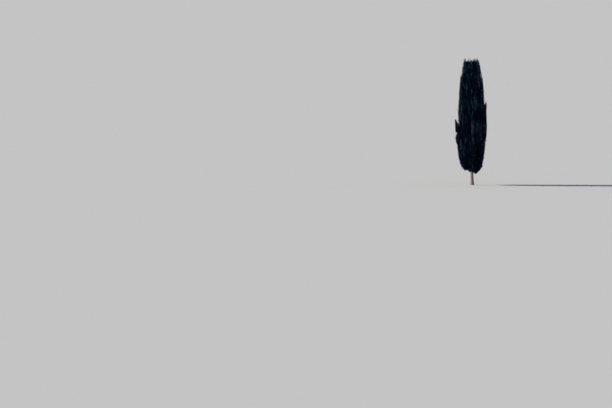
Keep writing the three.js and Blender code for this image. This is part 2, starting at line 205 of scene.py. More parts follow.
class NodeSketch:
    """A node tree under construction, with short ways to add and join its nodes."""

    def __init__(self, tree: bpy.types.NodeTree) -> None:
        """Take up a tree.

        Args:
            tree: The tree that the nodes go into.
        """
        self.tree = tree

    @classmethod
    def group(
        cls, name: str, kind: str, takes: dict[str, tuple[str, object]], gives: dict[str, str]
    ) -> NodeSketch:
        """Start a group of nodes.

        Args:
            name: The group's name.
            kind: GeometryNodeTree or ShaderNodeTree.
            takes: The name of each input, with its socket type and what it holds at first, or None.
            gives: The name of each output, with its socket type.

        Returns:
            The sketch of the group.
        """
        sketch = cls(bpy.data.node_groups.new(name, kind))
        for label, (socket_type, value) in takes.items():
            socket = sketch.tree.interface.new_socket(label, in_out="INPUT", socket_type=socket_type)
            if value is not None:
                socket.default_value = value
        for label, socket_type in gives.items():
            sketch.tree.interface.new_socket(label, in_out="OUTPUT", socket_type=socket_type)
        sketch.entry = sketch.tree.nodes.new("NodeGroupInput")
        sketch.exit = sketch.tree.nodes.new("NodeGroupOutput")
        return sketch

    def taken(self, name: str) -> Socket:
        """The group's input of that name, to join to its nodes."""
        return self.entry.outputs[name]

    def give(self, name: str, value: Socket) -> None:
        """Join a value to the group's output of that name."""
        self.tree.links.new(value, self.exit.inputs[name])

    def add(
        self, kind: str, joins: dict[str | int, object] | None = None, **settings: object
    ) -> bpy.types.Node:
        """Add a node.

        Args:
            kind: The node's type.
            joins: For each input, by name or number, the socket that feeds it or the value that it holds.
            settings: The node's own options.

        Returns:
            The node.
        """
        node = self.tree.nodes.new(kind)
        for option, value in settings.items():
            setattr(node, option, value)
        for socket, value in (joins or {}).items():
            if isinstance(value, Socket):
                self.tree.links.new(value, node.inputs[socket])
            else:
                node.inputs[socket].default_value = value
        return node

    def sum(self, operation: str, *terms: object) -> Socket:
        """The result of a sum on numbers.

        Args:
            operation: The sum, as Blender's Math node calls it.
            terms: Sockets or numbers.

        Returns:
            The socket that holds the result.
        """
        return self.add("ShaderNodeMath", dict(enumerate(terms)), operation=operation).outputs[0]

    def ranged(self, mask: Socket, low: float, high: float) -> Socket:
        """A mask from 0 to 1 turned into a number from low to high."""
        return self.add("ShaderNodeMapRange", {"Value": mask, "To Min": low, "To Max": high}).outputs[0]

    def held(self, name: str, kind: str) -> Socket:
        """The socket of a value that the points hold under a name."""
        reader = self.add("GeometryNodeInputNamedAttribute", {"Name": name}, data_type=kind)
        return reader.outputs["Attribute"]

    def finish(self, shape: Socket, material: Socket) -> None:
        """End the group: make the instances real, and set the material on all of it.

        Args:
            shape: What the nodes have made.
            material: The material.
        """
        real = self.add("GeometryNodeRealizeInstances", {"Geometry": shape}).outputs[0]
        made = self.add("GeometryNodeSetMaterial", {"Geometry": real, "Material": material})
        self.give("Geometry", made.outputs[0])


def run_nodes(tree: bpy.types.NodeTree, base: Mesh, inputs: dict[str, object]) -> Mesh:
    """Run a tree of geometry nodes on a mesh.

    Args:
        tree: The tree.
        base: The mesh that goes in. It is used up.
        inputs: A value for each named input of the tree that isn't left as it is.

    Returns:
        What comes out, as a plain mesh.
    """
    carrier = bpy.data.objects.new(f"{tree.name} carrier", base)
    bpy.context.scene.collection.objects.link(carrier)
    modifier = carrier.modifiers.new("grow", "NODES")
    modifier.node_group = tree
    for item in tree.interface.items_tree:
        if item.in_out == "INPUT" and item.name in inputs:
            modifier[item.identifier] = inputs[item.name]
    graph = bpy.context.evaluated_depsgraph_get()
    made = bpy.data.meshes.new_from_object(carrier.evaluated_get(graph))
    carrier.modifiers.remove(modifier)
    bpy.data.objects.remove(carrier)
    bpy.data.meshes.remove(base)
    return made


def place_piece(name: str, mesh: Mesh, nodes: Sequence[str]) -> bpy.types.Object:
    """Put a finished mesh into the scene as a piece of the tree.

    Args:
        name: The piece's name.
        mesh: Its mesh, in place.
        nodes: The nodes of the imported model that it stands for.

    Returns:
        The piece.
    """
    mesh.name = name
    piece = bpy.data.objects.new(name, mesh)
    bpy.context.scene.collection.objects.link(piece)
    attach(piece, BODY)
    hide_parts(*nodes)
    log.info("%s: %d faces, stands for %d nodes", name, len(mesh.polygons), len(nodes))
    return piece


@dataclass(frozen=True)
class PlainFinish:
    """A finish of one plain colour, such as foliage has, whose colours are dealt out spray by spray."""

    name: str
    colour: Triple
    roughness: float = 0.80
    shine: float = 0.03

    def material(self) -> bpy.types.Material:
        """Make the material.

        Returns:
            The material.
        """
        made = bpy.data.materials.new(self.name)
        made.use_nodes = True
        shader = made.node_tree.nodes["Principled BSDF"]
        shader.inputs["Base Color"].default_value = (*self.colour, 1.0)
        shader.inputs["Roughness"].default_value = self.roughness
        shader.inputs["Specular IOR Level"].default_value = self.shine
        made.diffuse_color = (*self.colour, 1.0)
        return made


class Tint(IntEnum):
    """The colours of the foliage, from dark to pale, and the dry ones. The darkest is painted shade on the
    inner sprays and in the seams, and the paler ones carry painted light on the lit strands.
    """

    DEEP = 0
    DARK = 1
    MIDDLE = 2
    FRESH = 3
    PALE = 4
    DRY = 5


# Plain colours dealt out spray by spray: the darkest also serves as painted shade, the palest as painted
# light on lit strands.
LEAF_FINISHES = {
    Tint.DEEP: PlainFinish("foliage deep", (0.0007, 0.0062, 0.0215)),
    Tint.DARK: PlainFinish("foliage dark", (0.0017, 0.0130, 0.0350)),
    Tint.MIDDLE: PlainFinish("foliage middle", (0.0052, 0.0300, 0.0570)),
    Tint.FRESH: PlainFinish("foliage fresh", (0.0190, 0.0660, 0.0900)),
    Tint.PALE: PlainFinish("foliage pale", (0.0640, 0.1450, 0.1560)),
    Tint.DRY: PlainFinish("foliage dry", (0.0320, 0.0180, 0.0370)),
}


class BarkFibre:
    """Stringy bark as a group of shader nodes: threads that run with the limb, and blotches across them."""

    NAME = "bark fibre"
    STRAND_SCALE = 3.1
    THREAD_RANGE = (0.36, 0.64)
    STRAND_RANGE = (0.32, 0.68)
    BLOTCH_RANGE = (0.42, 0.66)

    @classmethod
    def group(cls) -> bpy.types.NodeTree:
        """The group, built the first time that it is asked for.

        Returns:
            The group. Its outputs are masks from 0 to 1.
        """
        if cls.NAME in bpy.data.node_groups:
            return bpy.data.node_groups[cls.NAME]
        takes = {
            "Place": ("NodeSocketVector", None),
            "Thread": ("NodeSocketFloat", 0.02),
            "Stretch": ("NodeSocketFloat", 9.0),
            "Blotch": ("NodeSocketFloat", 0.35),
        }
        gives = {"Threads": "NodeSocketFloat", "Fine": "NodeSocketFloat", "Blotches": "NodeSocketFloat"}
        sketch = NodeSketch.group(cls.NAME, "ShaderNodeTree", takes, gives)
        fine = sketch.sum("DIVIDE", 1.0, sketch.taken("Thread"))
        slow = sketch.sum("DIVIDE", fine, sketch.taken("Stretch"))
        scale = sketch.add("ShaderNodeCombineXYZ", {0: fine, 1: fine, 2: slow}).outputs[0]
        place = sketch.taken("Place")
        along = sketch.add("ShaderNodeVectorMath", {0: place, 1: scale}, operation="MULTIPLY").outputs[0]
        joins = {"Vector": along, "Scale": 1.0, "Detail": 4.0, "Distortion": 0.5}
        threads = sketch.add("ShaderNodeTexNoise", joins)
        sketch.give("Threads", cls.spread(sketch, threads.outputs[0], *cls.THREAD_RANGE))
        joins = {"Vector": along, "Scale": cls.STRAND_SCALE, "Detail": 3.0}
        strands = sketch.add("ShaderNodeTexNoise", joins)
        sketch.give("Fine", cls.spread(sketch, strands.outputs[0], *cls.STRAND_RANGE))
        broad = sketch.sum("DIVIDE", 1.0, sketch.taken("Blotch"))
        patches = sketch.add("ShaderNodeTexNoise", {"Vector": place, "Scale": broad, "Detail": 2.0})
        sketch.give("Blotches", cls.spread(sketch, patches.outputs[0], *cls.BLOTCH_RANGE))
        return sketch.tree

    @staticmethod
    def spread(sketch: NodeSketch, value: Socket, low: float, high: float) -> Socket:
        """A mask spread out, so that low becomes 0 and high becomes 1."""
        joins = {"Value": value, "From Min": low, "From Max": high}
        return sketch.add("ShaderNodeMapRange", joins, interpolation_type="SMOOTHSTEP").outputs[0]


@dataclass(frozen=True)
class BarkFinish:
    """Grey, stringy bark that follows a limb by the attribute named grain.

    The roughness and the fine shading are each given for the furrows first and then for the ridges.
    """

    name: str
    furrow: Triple
    ridge: Triple
    blotch: Triple
    thread: float = 0.02
    stretch: float = 9.0
    bump: float = 0.004
    blotch_share: float = 0.55
    fine_share: float = 0.35
    shading: Pair = (0.74, 1.10)
    roughness: Pair = (0.97, 0.78)
    shine: float = 0.25

    def material(self) -> bpy.types.Material:
        """Make the material.

        Returns:
            The material.
        """
        made = PlainFinish(self.name, self.ridge, shine=self.shine).material()
        sketch = NodeSketch(made.node_tree)
        shader = made.node_tree.nodes["Principled BSDF"]
        place = sketch.add("ShaderNodeAttribute", attribute_name="grain").outputs["Vector"]
        fibre = sketch.add("ShaderNodeGroup", node_tree=BarkFibre.group())
        sketch.tree.links.new(place, fibre.inputs["Place"])
        fibre.inputs["Thread"].default_value = self.thread
        fibre.inputs["Stretch"].default_value = self.stretch
        colour = self.mixed(sketch, fibre.outputs["Threads"], self.furrow, self.ridge)
        blotched = sketch.sum("MULTIPLY", fibre.outputs["Blotches"], self.blotch_share)
        colour = self.mixed(sketch, blotched, colour, self.blotch)
        joins = {0: colour, "Scale": sketch.ranged(fibre.outputs["Fine"], *self.shading)}
        colour = sketch.add("ShaderNodeVectorMath", joins, operation="SCALE").outputs[0]
        rough = sketch.ranged(fibre.outputs["Threads"], *self.roughness)
        height = sketch.sum("MULTIPLY_ADD", fibre.outputs["Fine"], self.fine_share, fibre.outputs["Threads"])
        bump = sketch.add("ShaderNodeBump", {"Height": height, "Distance": self.bump})
        sketch.tree.links.new(colour, shader.inputs["Base Color"])
        sketch.tree.links.new(rough, shader.inputs["Roughness"])
        sketch.tree.links.new(bump.outputs[0], shader.inputs["Normal"])
        return made

    @staticmethod
    def mixed(sketch: NodeSketch, mask: Socket, first: object, second: object) -> Socket:
        """A colour between two others.

        Args:
            sketch: The material's nodes.
            mask: 0 for the first and 1 for the second.
            first: A colour or the socket of one.
            second: A colour.

        Returns:
            The socket of the mix.
        """
        mix = sketch.add("ShaderNodeMix", data_type="RGBA")
        sketch.tree.links.new(mask, mix.inputs["Factor"])
        if isinstance(first, Socket):
            sketch.tree.links.new(first, mix.inputs[6])
        else:
            mix.inputs[6].default_value = (*first, 1.0)
        mix.inputs[7].default_value = (*second, 1.0)
        return mix.outputs[2]


TRUNK_BARK = BarkFinish(
    "trunk bark",
    furrow=(0.130, 0.100, 0.110),
    ridge=(0.520, 0.460, 0.430),
    blotch=(0.330, 0.270, 0.330),
    thread=0.018,
    stretch=14.0,
)
# Painted light: the boughs' bark is painted much paler than the trunk's, so that the limb in the crevice,
# which lies in shade, shows as sunlit.
PAINTED_LIGHT_BOUGH_BARK = BarkFinish(
    "bough bark",
    furrow=(0.320, 0.290, 0.340),
    ridge=(0.840, 0.780, 0.860),
    blotch=(0.680, 0.600, 0.720),
    thread=0.012,
    stretch=12.0,
    bump=0.003,
)
TWIG_BARK = PlainFinish("twig bark", (0.010, 0.009, 0.010), roughness=0.90)


@dataclass(frozen=True)
class Crown:
    """The crown's outline: its reach to the left and to the right of the trunk's foot at a few heights."""

    height: float = 12.0
    outline: tuple[Triple, ...] = (
        (1.15, 0.42, 0.41),
        (1.50, 0.76, 0.71),
        (2.00, 1.12, 1.01),
        (2.60, 1.25, 1.12),
        (3.90, 1.39, 1.28),
        (5.50, 1.45, 1.35),
        (6.70, 1.40, 1.31),
        (8.50, 1.28, 1.14),
        (10.00, 1.14, 0.99),
        (10.90, 0.97, 0.83),
        (11.50, 0.82, 0.70),
        (12.00, 0.74, 0.56),
    )

    def girth(self, heights: Vec | float) -> tuple[Vec, Vec]:
        """The level circle that the crown fills at each height.

        Args:
            heights: One height or a row of them.

        Returns:
            How far to the right of the origin its middle lies, and its radius.
        """
        levels, lefts, rights = np.array(self.outline).T
        left = np.interp(heights, levels, lefts)
        right = np.interp(heights, levels, rights)
        return (right - left) / 2, (left + right) / 2

    def past(self, points: Vec) -> Vec:
        """How far outside the outline points lie. Below 0 is inside."""
        middle, reach = self.girth(points[:, 2])
        return np.hypot(points[:, 0] - middle, points[:, 1]) - reach

    def point(self, azimuth: float, distance: float, height: float) -> Vec:
        """The point at an azimuth, a distance from the crown's middle, and a height."""
        middle, _ = self.girth(height)
        return heading(azimuth) * distance + np.array([float(middle), 0.0, height])


@dataclass(frozen=True)
class BarkRelief:
    """Ridges and furrows of stringy bark as a real shape, at a size that a mesh can hold."""

    thread: float = 0.034
    stretch: float = 8.0
    twist: float = 0.22
    sharpness: float = 0.6
    string_scale: float = 2.7
    swell_scale: float = 0.21
    shares: Triple = (0.75, 0.25, 0.35)
    least_radius: float = 0.03
    depth_share: float = 0.050
    least_depth: float = 0.0012

    def height(self, angle: float, along: float, radius: float, seed: float) -> float:
        """How far the bark stands out of the limb's plain surface.

        Args:
            angle: Where round the limb, in radians.
            along: How far along the limb.
            radius: The limb's radius there.
            seed: A number that differs from limb to limb.

        Returns:
            The height, below 0 in a furrow.
        """
        swung = angle + self.twist * along
        across = max(radius, self.least_radius) / self.thread
        run = along / (self.thread * self.stretch)
        spot = Vector((math.cos(swung) * across, math.sin(swung) * across, run))
        spot.x += seed
        ridges = abs(noise.noise(spot)) ** self.sharpness
        strings = 0.5 + 0.5 * noise.noise(spot * self.string_scale)
        swells = noise.noise(spot * self.swell_scale)
        by_ridge, by_string, by_swell = self.shares
        level = by_ridge * ridges + by_string * strings + by_swell * swells - 0.5
        return (self.least_depth + self.depth_share * radius) * level


def tubes_mesh(name: str, tubes: Sequence[tuple[Vec, Vec]]) -> Mesh:
    """Closed tubes through rings of points, each with a flat end at both ends, as one mesh.

    Args:
        name: The mesh's name.
        tubes: For each tube, its rings of points, each ring counter-clockwise seen from its far end, and each
            point's place in the bark's pattern.

    Returns:
        The mesh.
    """
    faces, smooth, first = [], [], 0
    for rings, _ in tubes:
        count, sides, _ = rings.shape
        ring, side = np.meshgrid(np.arange(count - 1), np.arange(sides), indexing="ij")
        here = first + (ring * sides + side).ravel()
        beside = first + (ring * sides + (side + 1) % sides).ravel()
        quads = np.column_stack([here, beside, beside + sides, here + sides]).tolist()
        last = first + count * sides
        foot = list(range(first, first + sides))[::-1]
        top = list(range(last - sides, last))
        faces += [*quads, foot, top]
        smooth += [True] * len(quads) + [False, False]
        first = last
    points = np.concatenate([rings.reshape(-1, 3) for rings, _ in tubes])
    grain = np.concatenate([places for _, places in tubes])
    mesh = bpy.data.meshes.new(name)
    mesh.from_pydata(points.tolist(), [], faces)
    mesh.attributes.new("grain", "FLOAT_VECTOR", "POINT").data.foreach_set("vector", grain.ravel())
    mesh.polygons.foreach_set("use_smooth", smooth)
    return mesh


@dataclass(frozen=True)
class Trunk:
    """The trunk: a true taper, a slight bow to the left, and a root flare with a flat cut at the ground."""

    tip_height: float = 10.75
    foot_radius: float = 0.158
    tip_radius: float = 0.014
    taper_power: float = 0.9
    bow_depth: float = 0.110
    flare_reach: float = 0.062
    flare_height: float = 0.190
    flare_ridges: int = 5
    flare_turn: float = 0.8
    ridge_depth: float = 0.4
    flutes: int = 3
    flute_depth: float = 0.035
    flute_twist: float = 0.9
    sides: int = 120
    bare_height: float = 1.9
    bare_rings: int = 120
    hidden_rings: int = 110
    relief: BarkRelief = field(default_factory=BarkRelief)

    def bow(self, height: float) -> float:
        """How far to the right of the origin the trunk's middle lies at a height."""
        return -self.bow_depth * math.sin(math.pi * height / self.tip_height)

    def radius(self, height: float, angle: float = 0.0) -> float:
        """The trunk's radius, without its bark's relief.

        Args:
            height: How high.
            angle: Where round the trunk.

        Returns:
            The radius.
        """
        taper = lerp(self.foot_radius, self.tip_radius, (height / self.tip_height) ** self.taper_power)
        wave = self.ridge_depth * math.cos(self.flare_ridges * angle + self.flare_turn)
        ridge = 1 - self.ridge_depth + wave
        flute = 1 + self.flute_depth * math.cos(self.flutes * angle + height / self.flute_twist)
        return taper * flute + self.flare_reach * ridge * math.exp(-height / self.flare_height)

    def heights(self) -> Vec:
        """The heights of the rings of points.

        Returns:
            The heights, close together on the bare foot and wider apart inside the crown.
        """
        bare = np.linspace(0, self.bare_height, self.bare_rings, endpoint=False)
        hidden = np.linspace(self.bare_height, self.tip_height, self.hidden_rings)
        return np.concatenate([bare, hidden])

    def build(self) -> bpy.types.Object:
        """Make the trunk with its bark.

        Returns:
            The piece.
        """
        angles = np.linspace(0, FULL_TURN, self.sides, endpoint=False)
        rings, grain = [], []
        for height in self.heights():
            for angle in angles:
                plain = self.radius(height, angle)
                radius = plain + self.relief.height(angle, height, plain, 0.0)
                rings.append(heading(angle) * radius + np.array([self.bow(height), 0.0, height]))
                grain.append([math.cos(angle) * self.foot_radius, math.sin(angle) * self.foot_radius, height])
        shaped = np.array(rings).reshape(-1, self.sides, 3)
        mesh = tubes_mesh("trunk bark", [(shaped, np.array(grain))])
        mesh.materials.append(TRUNK_BARK.material())
        return place_piece("trunk_bark", mesh, ["trunk"])


@dataclass(frozen=True)
class Ring:
    """One ring of plumes round the trunk."""

    name: str
    height: float
    turn: float
    foot: float
    tip: float
    count: int = 6


@dataclass(frozen=True)
class Wish:
    """What a plume with a place of its own asks for."""

    tip: Triple | None = None
    swell: float = 0.050
    depth: float = 0.165
    turn: float = 0.0
    lift: float = 0.0
    foot_height: float | None = None
    climbs: bool = False
    shoulders: tuple[Triple, ...] = ()
    waist: float | None = None
    tip_inset: float = -0.09


RINGS = (
    Ring("skirt", 2.65, -15, 1.4, 2.25),
    Ring("lower", 4.80, 0, 1.9, 2.25),
    Ring("middle", 6.95, 30, 1.9, 2.25),
    Ring("upper", 8.98, 0, 1.8, 2.10),
    Ring("leader", 10.65, 30, 1.5, 1.00),
)
WISHES = {
    "skirt_165": Wish(tip=(-1.57, 0.34, 4.64), swell=0.230, depth=0.270, waist=4.86),
    "skirt_285": Wish(turn=-12),
    "lower_0": Wish(tip=(1.28, 0.02, 7.88), swell=0.140, depth=0.220, lift=0.450),
    "lower_180": Wish(
        tip=(-1.645, -0.04, 6.25),
        swell=0.220,
        depth=0.110,
        shoulders=((-1.37, 0.0, 7.15), (-1.56, 0.0, 5.80)),
        waist=4.86,
        tip_inset=-0.06,
    ),
    "lower_240": Wish(lift=-0.150),
    "lower_300": Wish(lift=-0.150),
    "middle_90": Wish(lift=0.240),
    "middle_270": Wish(climbs=True, foot_height=5.75),
    "leader_30": Wish(tip=(0.515, 0.300, 11.600)),
    "leader_90": Wish(tip=(0.020, 0.430, 11.740)),
    "leader_150": Wish(tip=(-0.420, 0.360, 11.790)),
    "leader_210": Wish(tip=(-0.710, -0.210, 11.930), swell=0.060, depth=0.170),
    "leader_270": Wish(tip=(-0.150, -0.430, 11.760)),
    "leader_330": Wish(tip=(0.400, -0.260, 12.000)),
}


@dataclass(frozen=True)
class Habit:
    """How the plumes share out the crown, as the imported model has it."""

    seed: int = 20417
    ring_at: float = 0.63
    tip_at: float = 0.86
    foot_at: float = 0.58
    foot_off_trunk: float = 0.055
    foot_free: float = 0.045
    tip_free: float = 0.035
    tip_rise: float = 0.35
    skirt_droop: float = 0.165
    crevice: tuple[str, str] = ("lower_240", "lower_300")
    crevice_gap: float = 0.060
    climb_foot: float = 3.7
    border_steepness: float = 0.055
    border_tilt: float = 1.7
    border_gap: float = 0.012
    hollow: float = 0.135
    hollow_off_trunk: float = 0.030
    scatter_turn: float = 5.0
    scatter_height: float = 0.190
    half_width: float = 0.620
    flame_foot: float = 0.14
    flame_closes: float = 0.4
    flame_power: float = 1.5
    leader_flame_power: float = 2.4
    core_share: float = 0.97
    core_least_reach: float = 0.060
    core_lumps: float = 0.05
    core_ridges: int = 3
    core_twist: int = 9
    sunk: float = 0.24
    tip_length: float = 0.700
    leader_tip_length: float = 0.500
    bough_slope: float = 1.6
    bough_share: float = 0.22
    bough_least_radius: float = 0.005
    bough_rooting: float = 0.030
    bough_straight_end: float = 0.090
    climber_radius: float = 0.044
    climber_foot: float = 0.120
    elbow_at: float = 0.55
    elbow_rise: float = 0.060
    bough_taper: float = 0.7
    stem_joint: float = 0.24
    stem_inset: float = 0.022
    stem_end: float = 0.96
    leader_joint: Pair = (0.22, 0.05)
    leader_stem_radius: float = 0.014
    stem_tip_radius: float = 0.009
    touch_gap: float = 0.0003
    spray_margin: float = 0.058
    margin_levels: tuple[float, ...] = (1.4, 3.6, 5.0, 8.2, 9.6)
    margin_shares: tuple[float, ...] = (0.0, 0.6, 1.0, 1.0, 0.4)
    drift_levels: tuple[float, ...] = (3.8, 5.4, 9.0, 10.5)
    drift: tuple[float, ...] = (0.060, -0.035, -0.035, -0.060)
    interlaced: float = 0.020
    hang: float = 0.050
    waist_size: Pair = (0.10, 0.08)
    hollow_used: float = 0.75


@dataclass(eq=False)
class Plume:
    """One mass of foliage: its place, its space, and the stem and bough that carry it.

    The number is its place in its ring, and the index its place in the tree.
    """

    SETTLING_STEPS = 80

    ring: Ring
    number: int
    index: int
    crown: Crown
    trunk: Trunk
    habit: Habit

    def __post_init__(self) -> None:
        """Give the plume its place in its ring."""
        ring, crown, habit = self.ring, self.crown, self.habit
        even = (ring.turn + self.number * 360 / ring.count + 360) % 360
        self.name = f"{ring.name}_{round(even)}"
        own = WISHES.get(self.name)
        draws = Draws(habit.seed + self.index)
        turn = own.turn if own else habit.scatter_turn * draws.between(-1, 1)
        lift = own.lift if own else habit.scatter_height * draws.between(-1, 1)
        self.wish = own or Wish()
        self.leads = ring.name == "leader"
        self.azimuth = math.radians(even + turn)
        self.outward = heading(self.azimuth)
        droop = habit.skirt_droop * math.cos(self.azimuth) if ring.name == "skirt" else 0.0
        height = ring.height + lift
        reach = float(crown.girth(height)[1])
        self.middle = crown.point(self.azimuth, habit.ring_at * reach, height)
        self.foot_height = self.wish.foot_height or height - ring.foot - droop
        tip_height = height + ring.tip
        tip_reach = float(crown.girth(tip_height)[1])
        even_tip = crown.point(self.azimuth, habit.tip_at * tip_reach, tip_height)
        self.wanted = np.array(self.wish.tip) if self.wish.tip else even_tip
        self.tip_length = habit.leader_tip_length if self.leads else habit.tip_length

    def settle(self, plumes: Sequence[Plume]) -> None:
        """Work out the plume's space, and lay its axis and stem in it.

        Args:
            plumes: Every plume of the tree.
        """
        borders = [self.border(other) for other in plumes if other is not self]
        self.keep = self.trunk_side()
        self.normals = np.array([normal for normal, _ in borders] + [-self.outward])
        self.offsets = np.array([offset for _, offset in borders] + [self.keep])
        self.axis = self.lay_axis()
        self.stem = self.lay_stem()

    def border(self, other: Plume) -> tuple[Vec, float]:
        """The plane between this plume and another.

        Args:
            other: The other plume.

        Returns:
            The plane's normal, which points to the other plume, and its offset.
        """
        habit = self.habit
        way = other.middle - self.middle
        outward = unit((self.middle + other.middle) * np.array([1, 1, 0]))
        lift = habit.border_steepness * way[2]
        normal = unit(np.array([way[0], way[1], lift]) - outward * habit.border_tilt * lift)
        between = (self.middle + other.middle) / 2
        gap = habit.crevice_gap if {self.name, other.name} == set(habit.crevice) else habit.border_gap
        return normal, gap - float(normal @ between)

    def trunk_side(self) -> float:
        """How far out from the origin the plume's space begins, so that it keeps clear of the trunk.

        Returns:
            The distance, for the trunk two metres up and down from the plume's middle.
        """
        trunk, height = self.trunk, self.middle[2]
        levels = [height + step for step in range(-2, 3) if height + step < trunk.tip_height]
        sides = [trunk.bow(level) * self.outward[0] + trunk.radius(level) for level in levels]
        return max(sides) + self.hollow()

    def hollow(self) -> float:
        """How wide the hollow between the trunk and the plume's space is."""
        return min(self.habit.hollow, self.habit.hollow_off_trunk + self.trunk.radius(self.middle[2]))

    def clearance(self, points: Vec) -> Vec:
        """How far inside the plume's space each point lies."""
        return -(points @ self.normals.T + self.offsets).max(axis=1)

    def in_reach(self, points: Vec, spare: float, inset: float = 0.0) -> Vec:
        """Test where sprays may go.

        Args:
            points: The points, one row for each.
            spare: How far they may reach across the borders with other plumes.
            inset: How far they keep inside the crown's outline and above the plume's foot.

        Returns:
            True for each point in the plume's space or the hollow's outer part, and inside the outline.
        """
        habit, heights = self.habit, points[:, 2]
        margin = inset + habit.spray_margin * np.interp(heights, habit.margin_levels, habit.margin_shares)
        if self.wish.waist:
            deep, tall = habit.waist_size
            margin = margin + deep * np.exp(-(((heights - self.wish.waist) / tall) ** 2))
        drift = np.interp(heights, habit.drift_levels, habit.drift)
        inside = self.crown.past(points - RIGHT * drift[:, None]) <= self.wish.swell - margin
        lowest = self.foot_height + inset - (habit.hang if self.ring.name == "skirt" else 0.0)
        inside &= (heights <= self.crown.height) & (heights >= lowest)
        past = points @ self.normals.T + self.offsets
        past[:, -1] -= habit.hollow_used * self.hollow() - spare
        return inside & (past.max(axis=1) < spare)

    def room(self, start: Vec, direction: Vec) -> float:
        """How far one may go from a point in a level direction.

        Args:
            start: The point.
            direction: The direction.

        Returns:
            The distance to the edge of the space or to the outline of the plume's core.
        """
        middle, reach = self.crown.girth(start[2])
        offset = np.array([start[0] - float(middle), start[1], 0.0])
        radius = max(float(reach) + self.wish.swell - self.wish.depth, self.habit.core_least_reach)
        inward = float(offset @ direction)
        inside = inward**2 + radius**2 - float(offset @ offset)
        free = math.sqrt(inside) - inward if inside > 0 else 0.0
        closing = self.normals @ direction
        ahead = closing > 1e-6
        gaps = -(self.normals @ start + self.offsets)[ahead] / closing[ahead]
        return min(free, float(gaps.min())) if len(gaps) else free

    def settled(self, end: Vec, free: float) -> Vec:
        """The last point on the way from the middle to an end that has free space round it.

        Args:
            end: The end.
            free: How much space.

        Returns:
            The point.
        """
        way = self.middle + (end - self.middle) * np.linspace(0, 1, self.SETTLING_STEPS + 1)[1:, None]
        good = (self.clearance(way) >= free) & (self.crown.past(way) <= self.wish.swell - free)
        steps = len(way) if good.all() else int(np.argmin(good))
        return way[steps - 1] if steps else self.middle

    def lay_axis(self) -> Course:
        """The plume's axis. It also sets the lead, which is the direction of the plume's tip.

        Returns:
            The course from its low inner foot to its high outer tip.
        """
        habit = self.habit
        foot_reach = float(self.crown.girth(self.foot_height)[1])
        foot_at = max(habit.foot_at * foot_reach, self.keep + habit.foot_off_trunk)
        foot = self.settled(self.crown.point(self.azimuth, foot_at, self.foot_height), habit.foot_free)
        self.lead = unit(lerp(unit(self.wanted - self.middle), UP, habit.tip_rise))
        before = self.wanted - self.lead * (1 - habit.sunk) * self.tip_length
        tip = before if self.wish.tip else self.settled(before, habit.tip_free)
        return Course([foot, self.middle, tip])

    def lay_stem(self) -> Course:
        """The plume's stem.

        Returns:
            The course from the bough's tip, or from inside the trunk, and up the axis to the tip.
        """
        habit, axis = self.habit, self.axis
        end = axis.point(habit.stem_end)
        if self.wish.climbs:
            foot = axis.point(0)
            return Course([foot - habit.climber_foot * UP, foot, axis.point(0.5), end])
        lowest, step = habit.leader_joint
        joint = axis.point(lowest + step * (self.index % 5) if self.leads else habit.stem_joint)
        slope = self.outward + UP * habit.bough_slope
        inner = self.trunk.bow(joint[2]) * self.outward[0] if self.leads else self.keep - habit.stem_inset
        start = joint + slope * (inner - float(joint @ self.outward))
        return Course([start, (start + joint) / 2, joint, axis.point(0.6), end])

    def flame(self, along: float) -> float:
        """How wide the plume is, as it follows the outline of a flame.

        Args:
            along: The share of its axis.

        Returns:
            The share of its full width.
        """
        habit = self.habit
        foot = math.sqrt(min(1.0, along / habit.flame_foot))
        power = habit.leader_flame_power if self.leads else habit.flame_power
        closing = max(0.0, (along - habit.flame_closes) / (1 - habit.flame_closes)) ** power
        return foot * max(math.cos(math.pi / 2 * closing), 0.0)

    def core_radius(self, along: float, angle: float) -> float:
        """How far from the axis the plume's dense part goes.

        Args:
            along: The share of the axis.
            angle: The direction.

        Returns:
            The distance.
        """
        habit = self.habit
        phase = habit.core_ridges * angle + habit.core_twist * along + self.index
        ridges = 1 - habit.core_lumps * (1 + math.sin(phase))
        free = self.room(self.axis.point(along), heading(angle))
        return max(0.0, min(habit.half_width * self.flame(along), habit.core_share * free) * ridges)

    def bough_radius(self) -> float:
        """How thick the plume's bough is where it leaves the trunk."""
        even = self.habit.bough_share * self.trunk.radius(self.stem.point(0)[2])
        return self.habit.climber_radius if self.wish.climbs else self.habit.bough_least_radius + even

    def stem_radius(self) -> float:
        """How thick the plume's stem is at its foot."""
        return self.habit.leader_stem_radius if self.leads else self.habit.bough_taper * self.bough_radius()

    def lay_bough(self) -> Course:
        """The route of the plume's bough.

        Returns:
            The course from inside the trunk to the foot of the stem.
        """
        habit, trunk = self.habit, self.trunk
        start, ahead = self.stem.point(0), self.stem.ahead(0)
        tip = start - ahead * habit.touch_gap
        before = start - ahead * habit.bough_straight_end
        inside = float(tip @ self.outward) - trunk.bow(tip[2]) * self.outward[0] - habit.bough_rooting
        if self.wish.climbs:
            root = np.array([trunk.bow(habit.climb_foot), 0.0, habit.climb_foot])
            knee = np.array([start[0], start[1], habit.climb_foot + habit.bough_slope * inside])
            elbow = lerp(root, knee, habit.elbow_at) + habit.elbow_rise * UP
            return Course([root, elbow, knee, before, tip])
        slope = self.outward + UP * habit.bough_slope
        return Course([tip - slope * inside, before, tip])


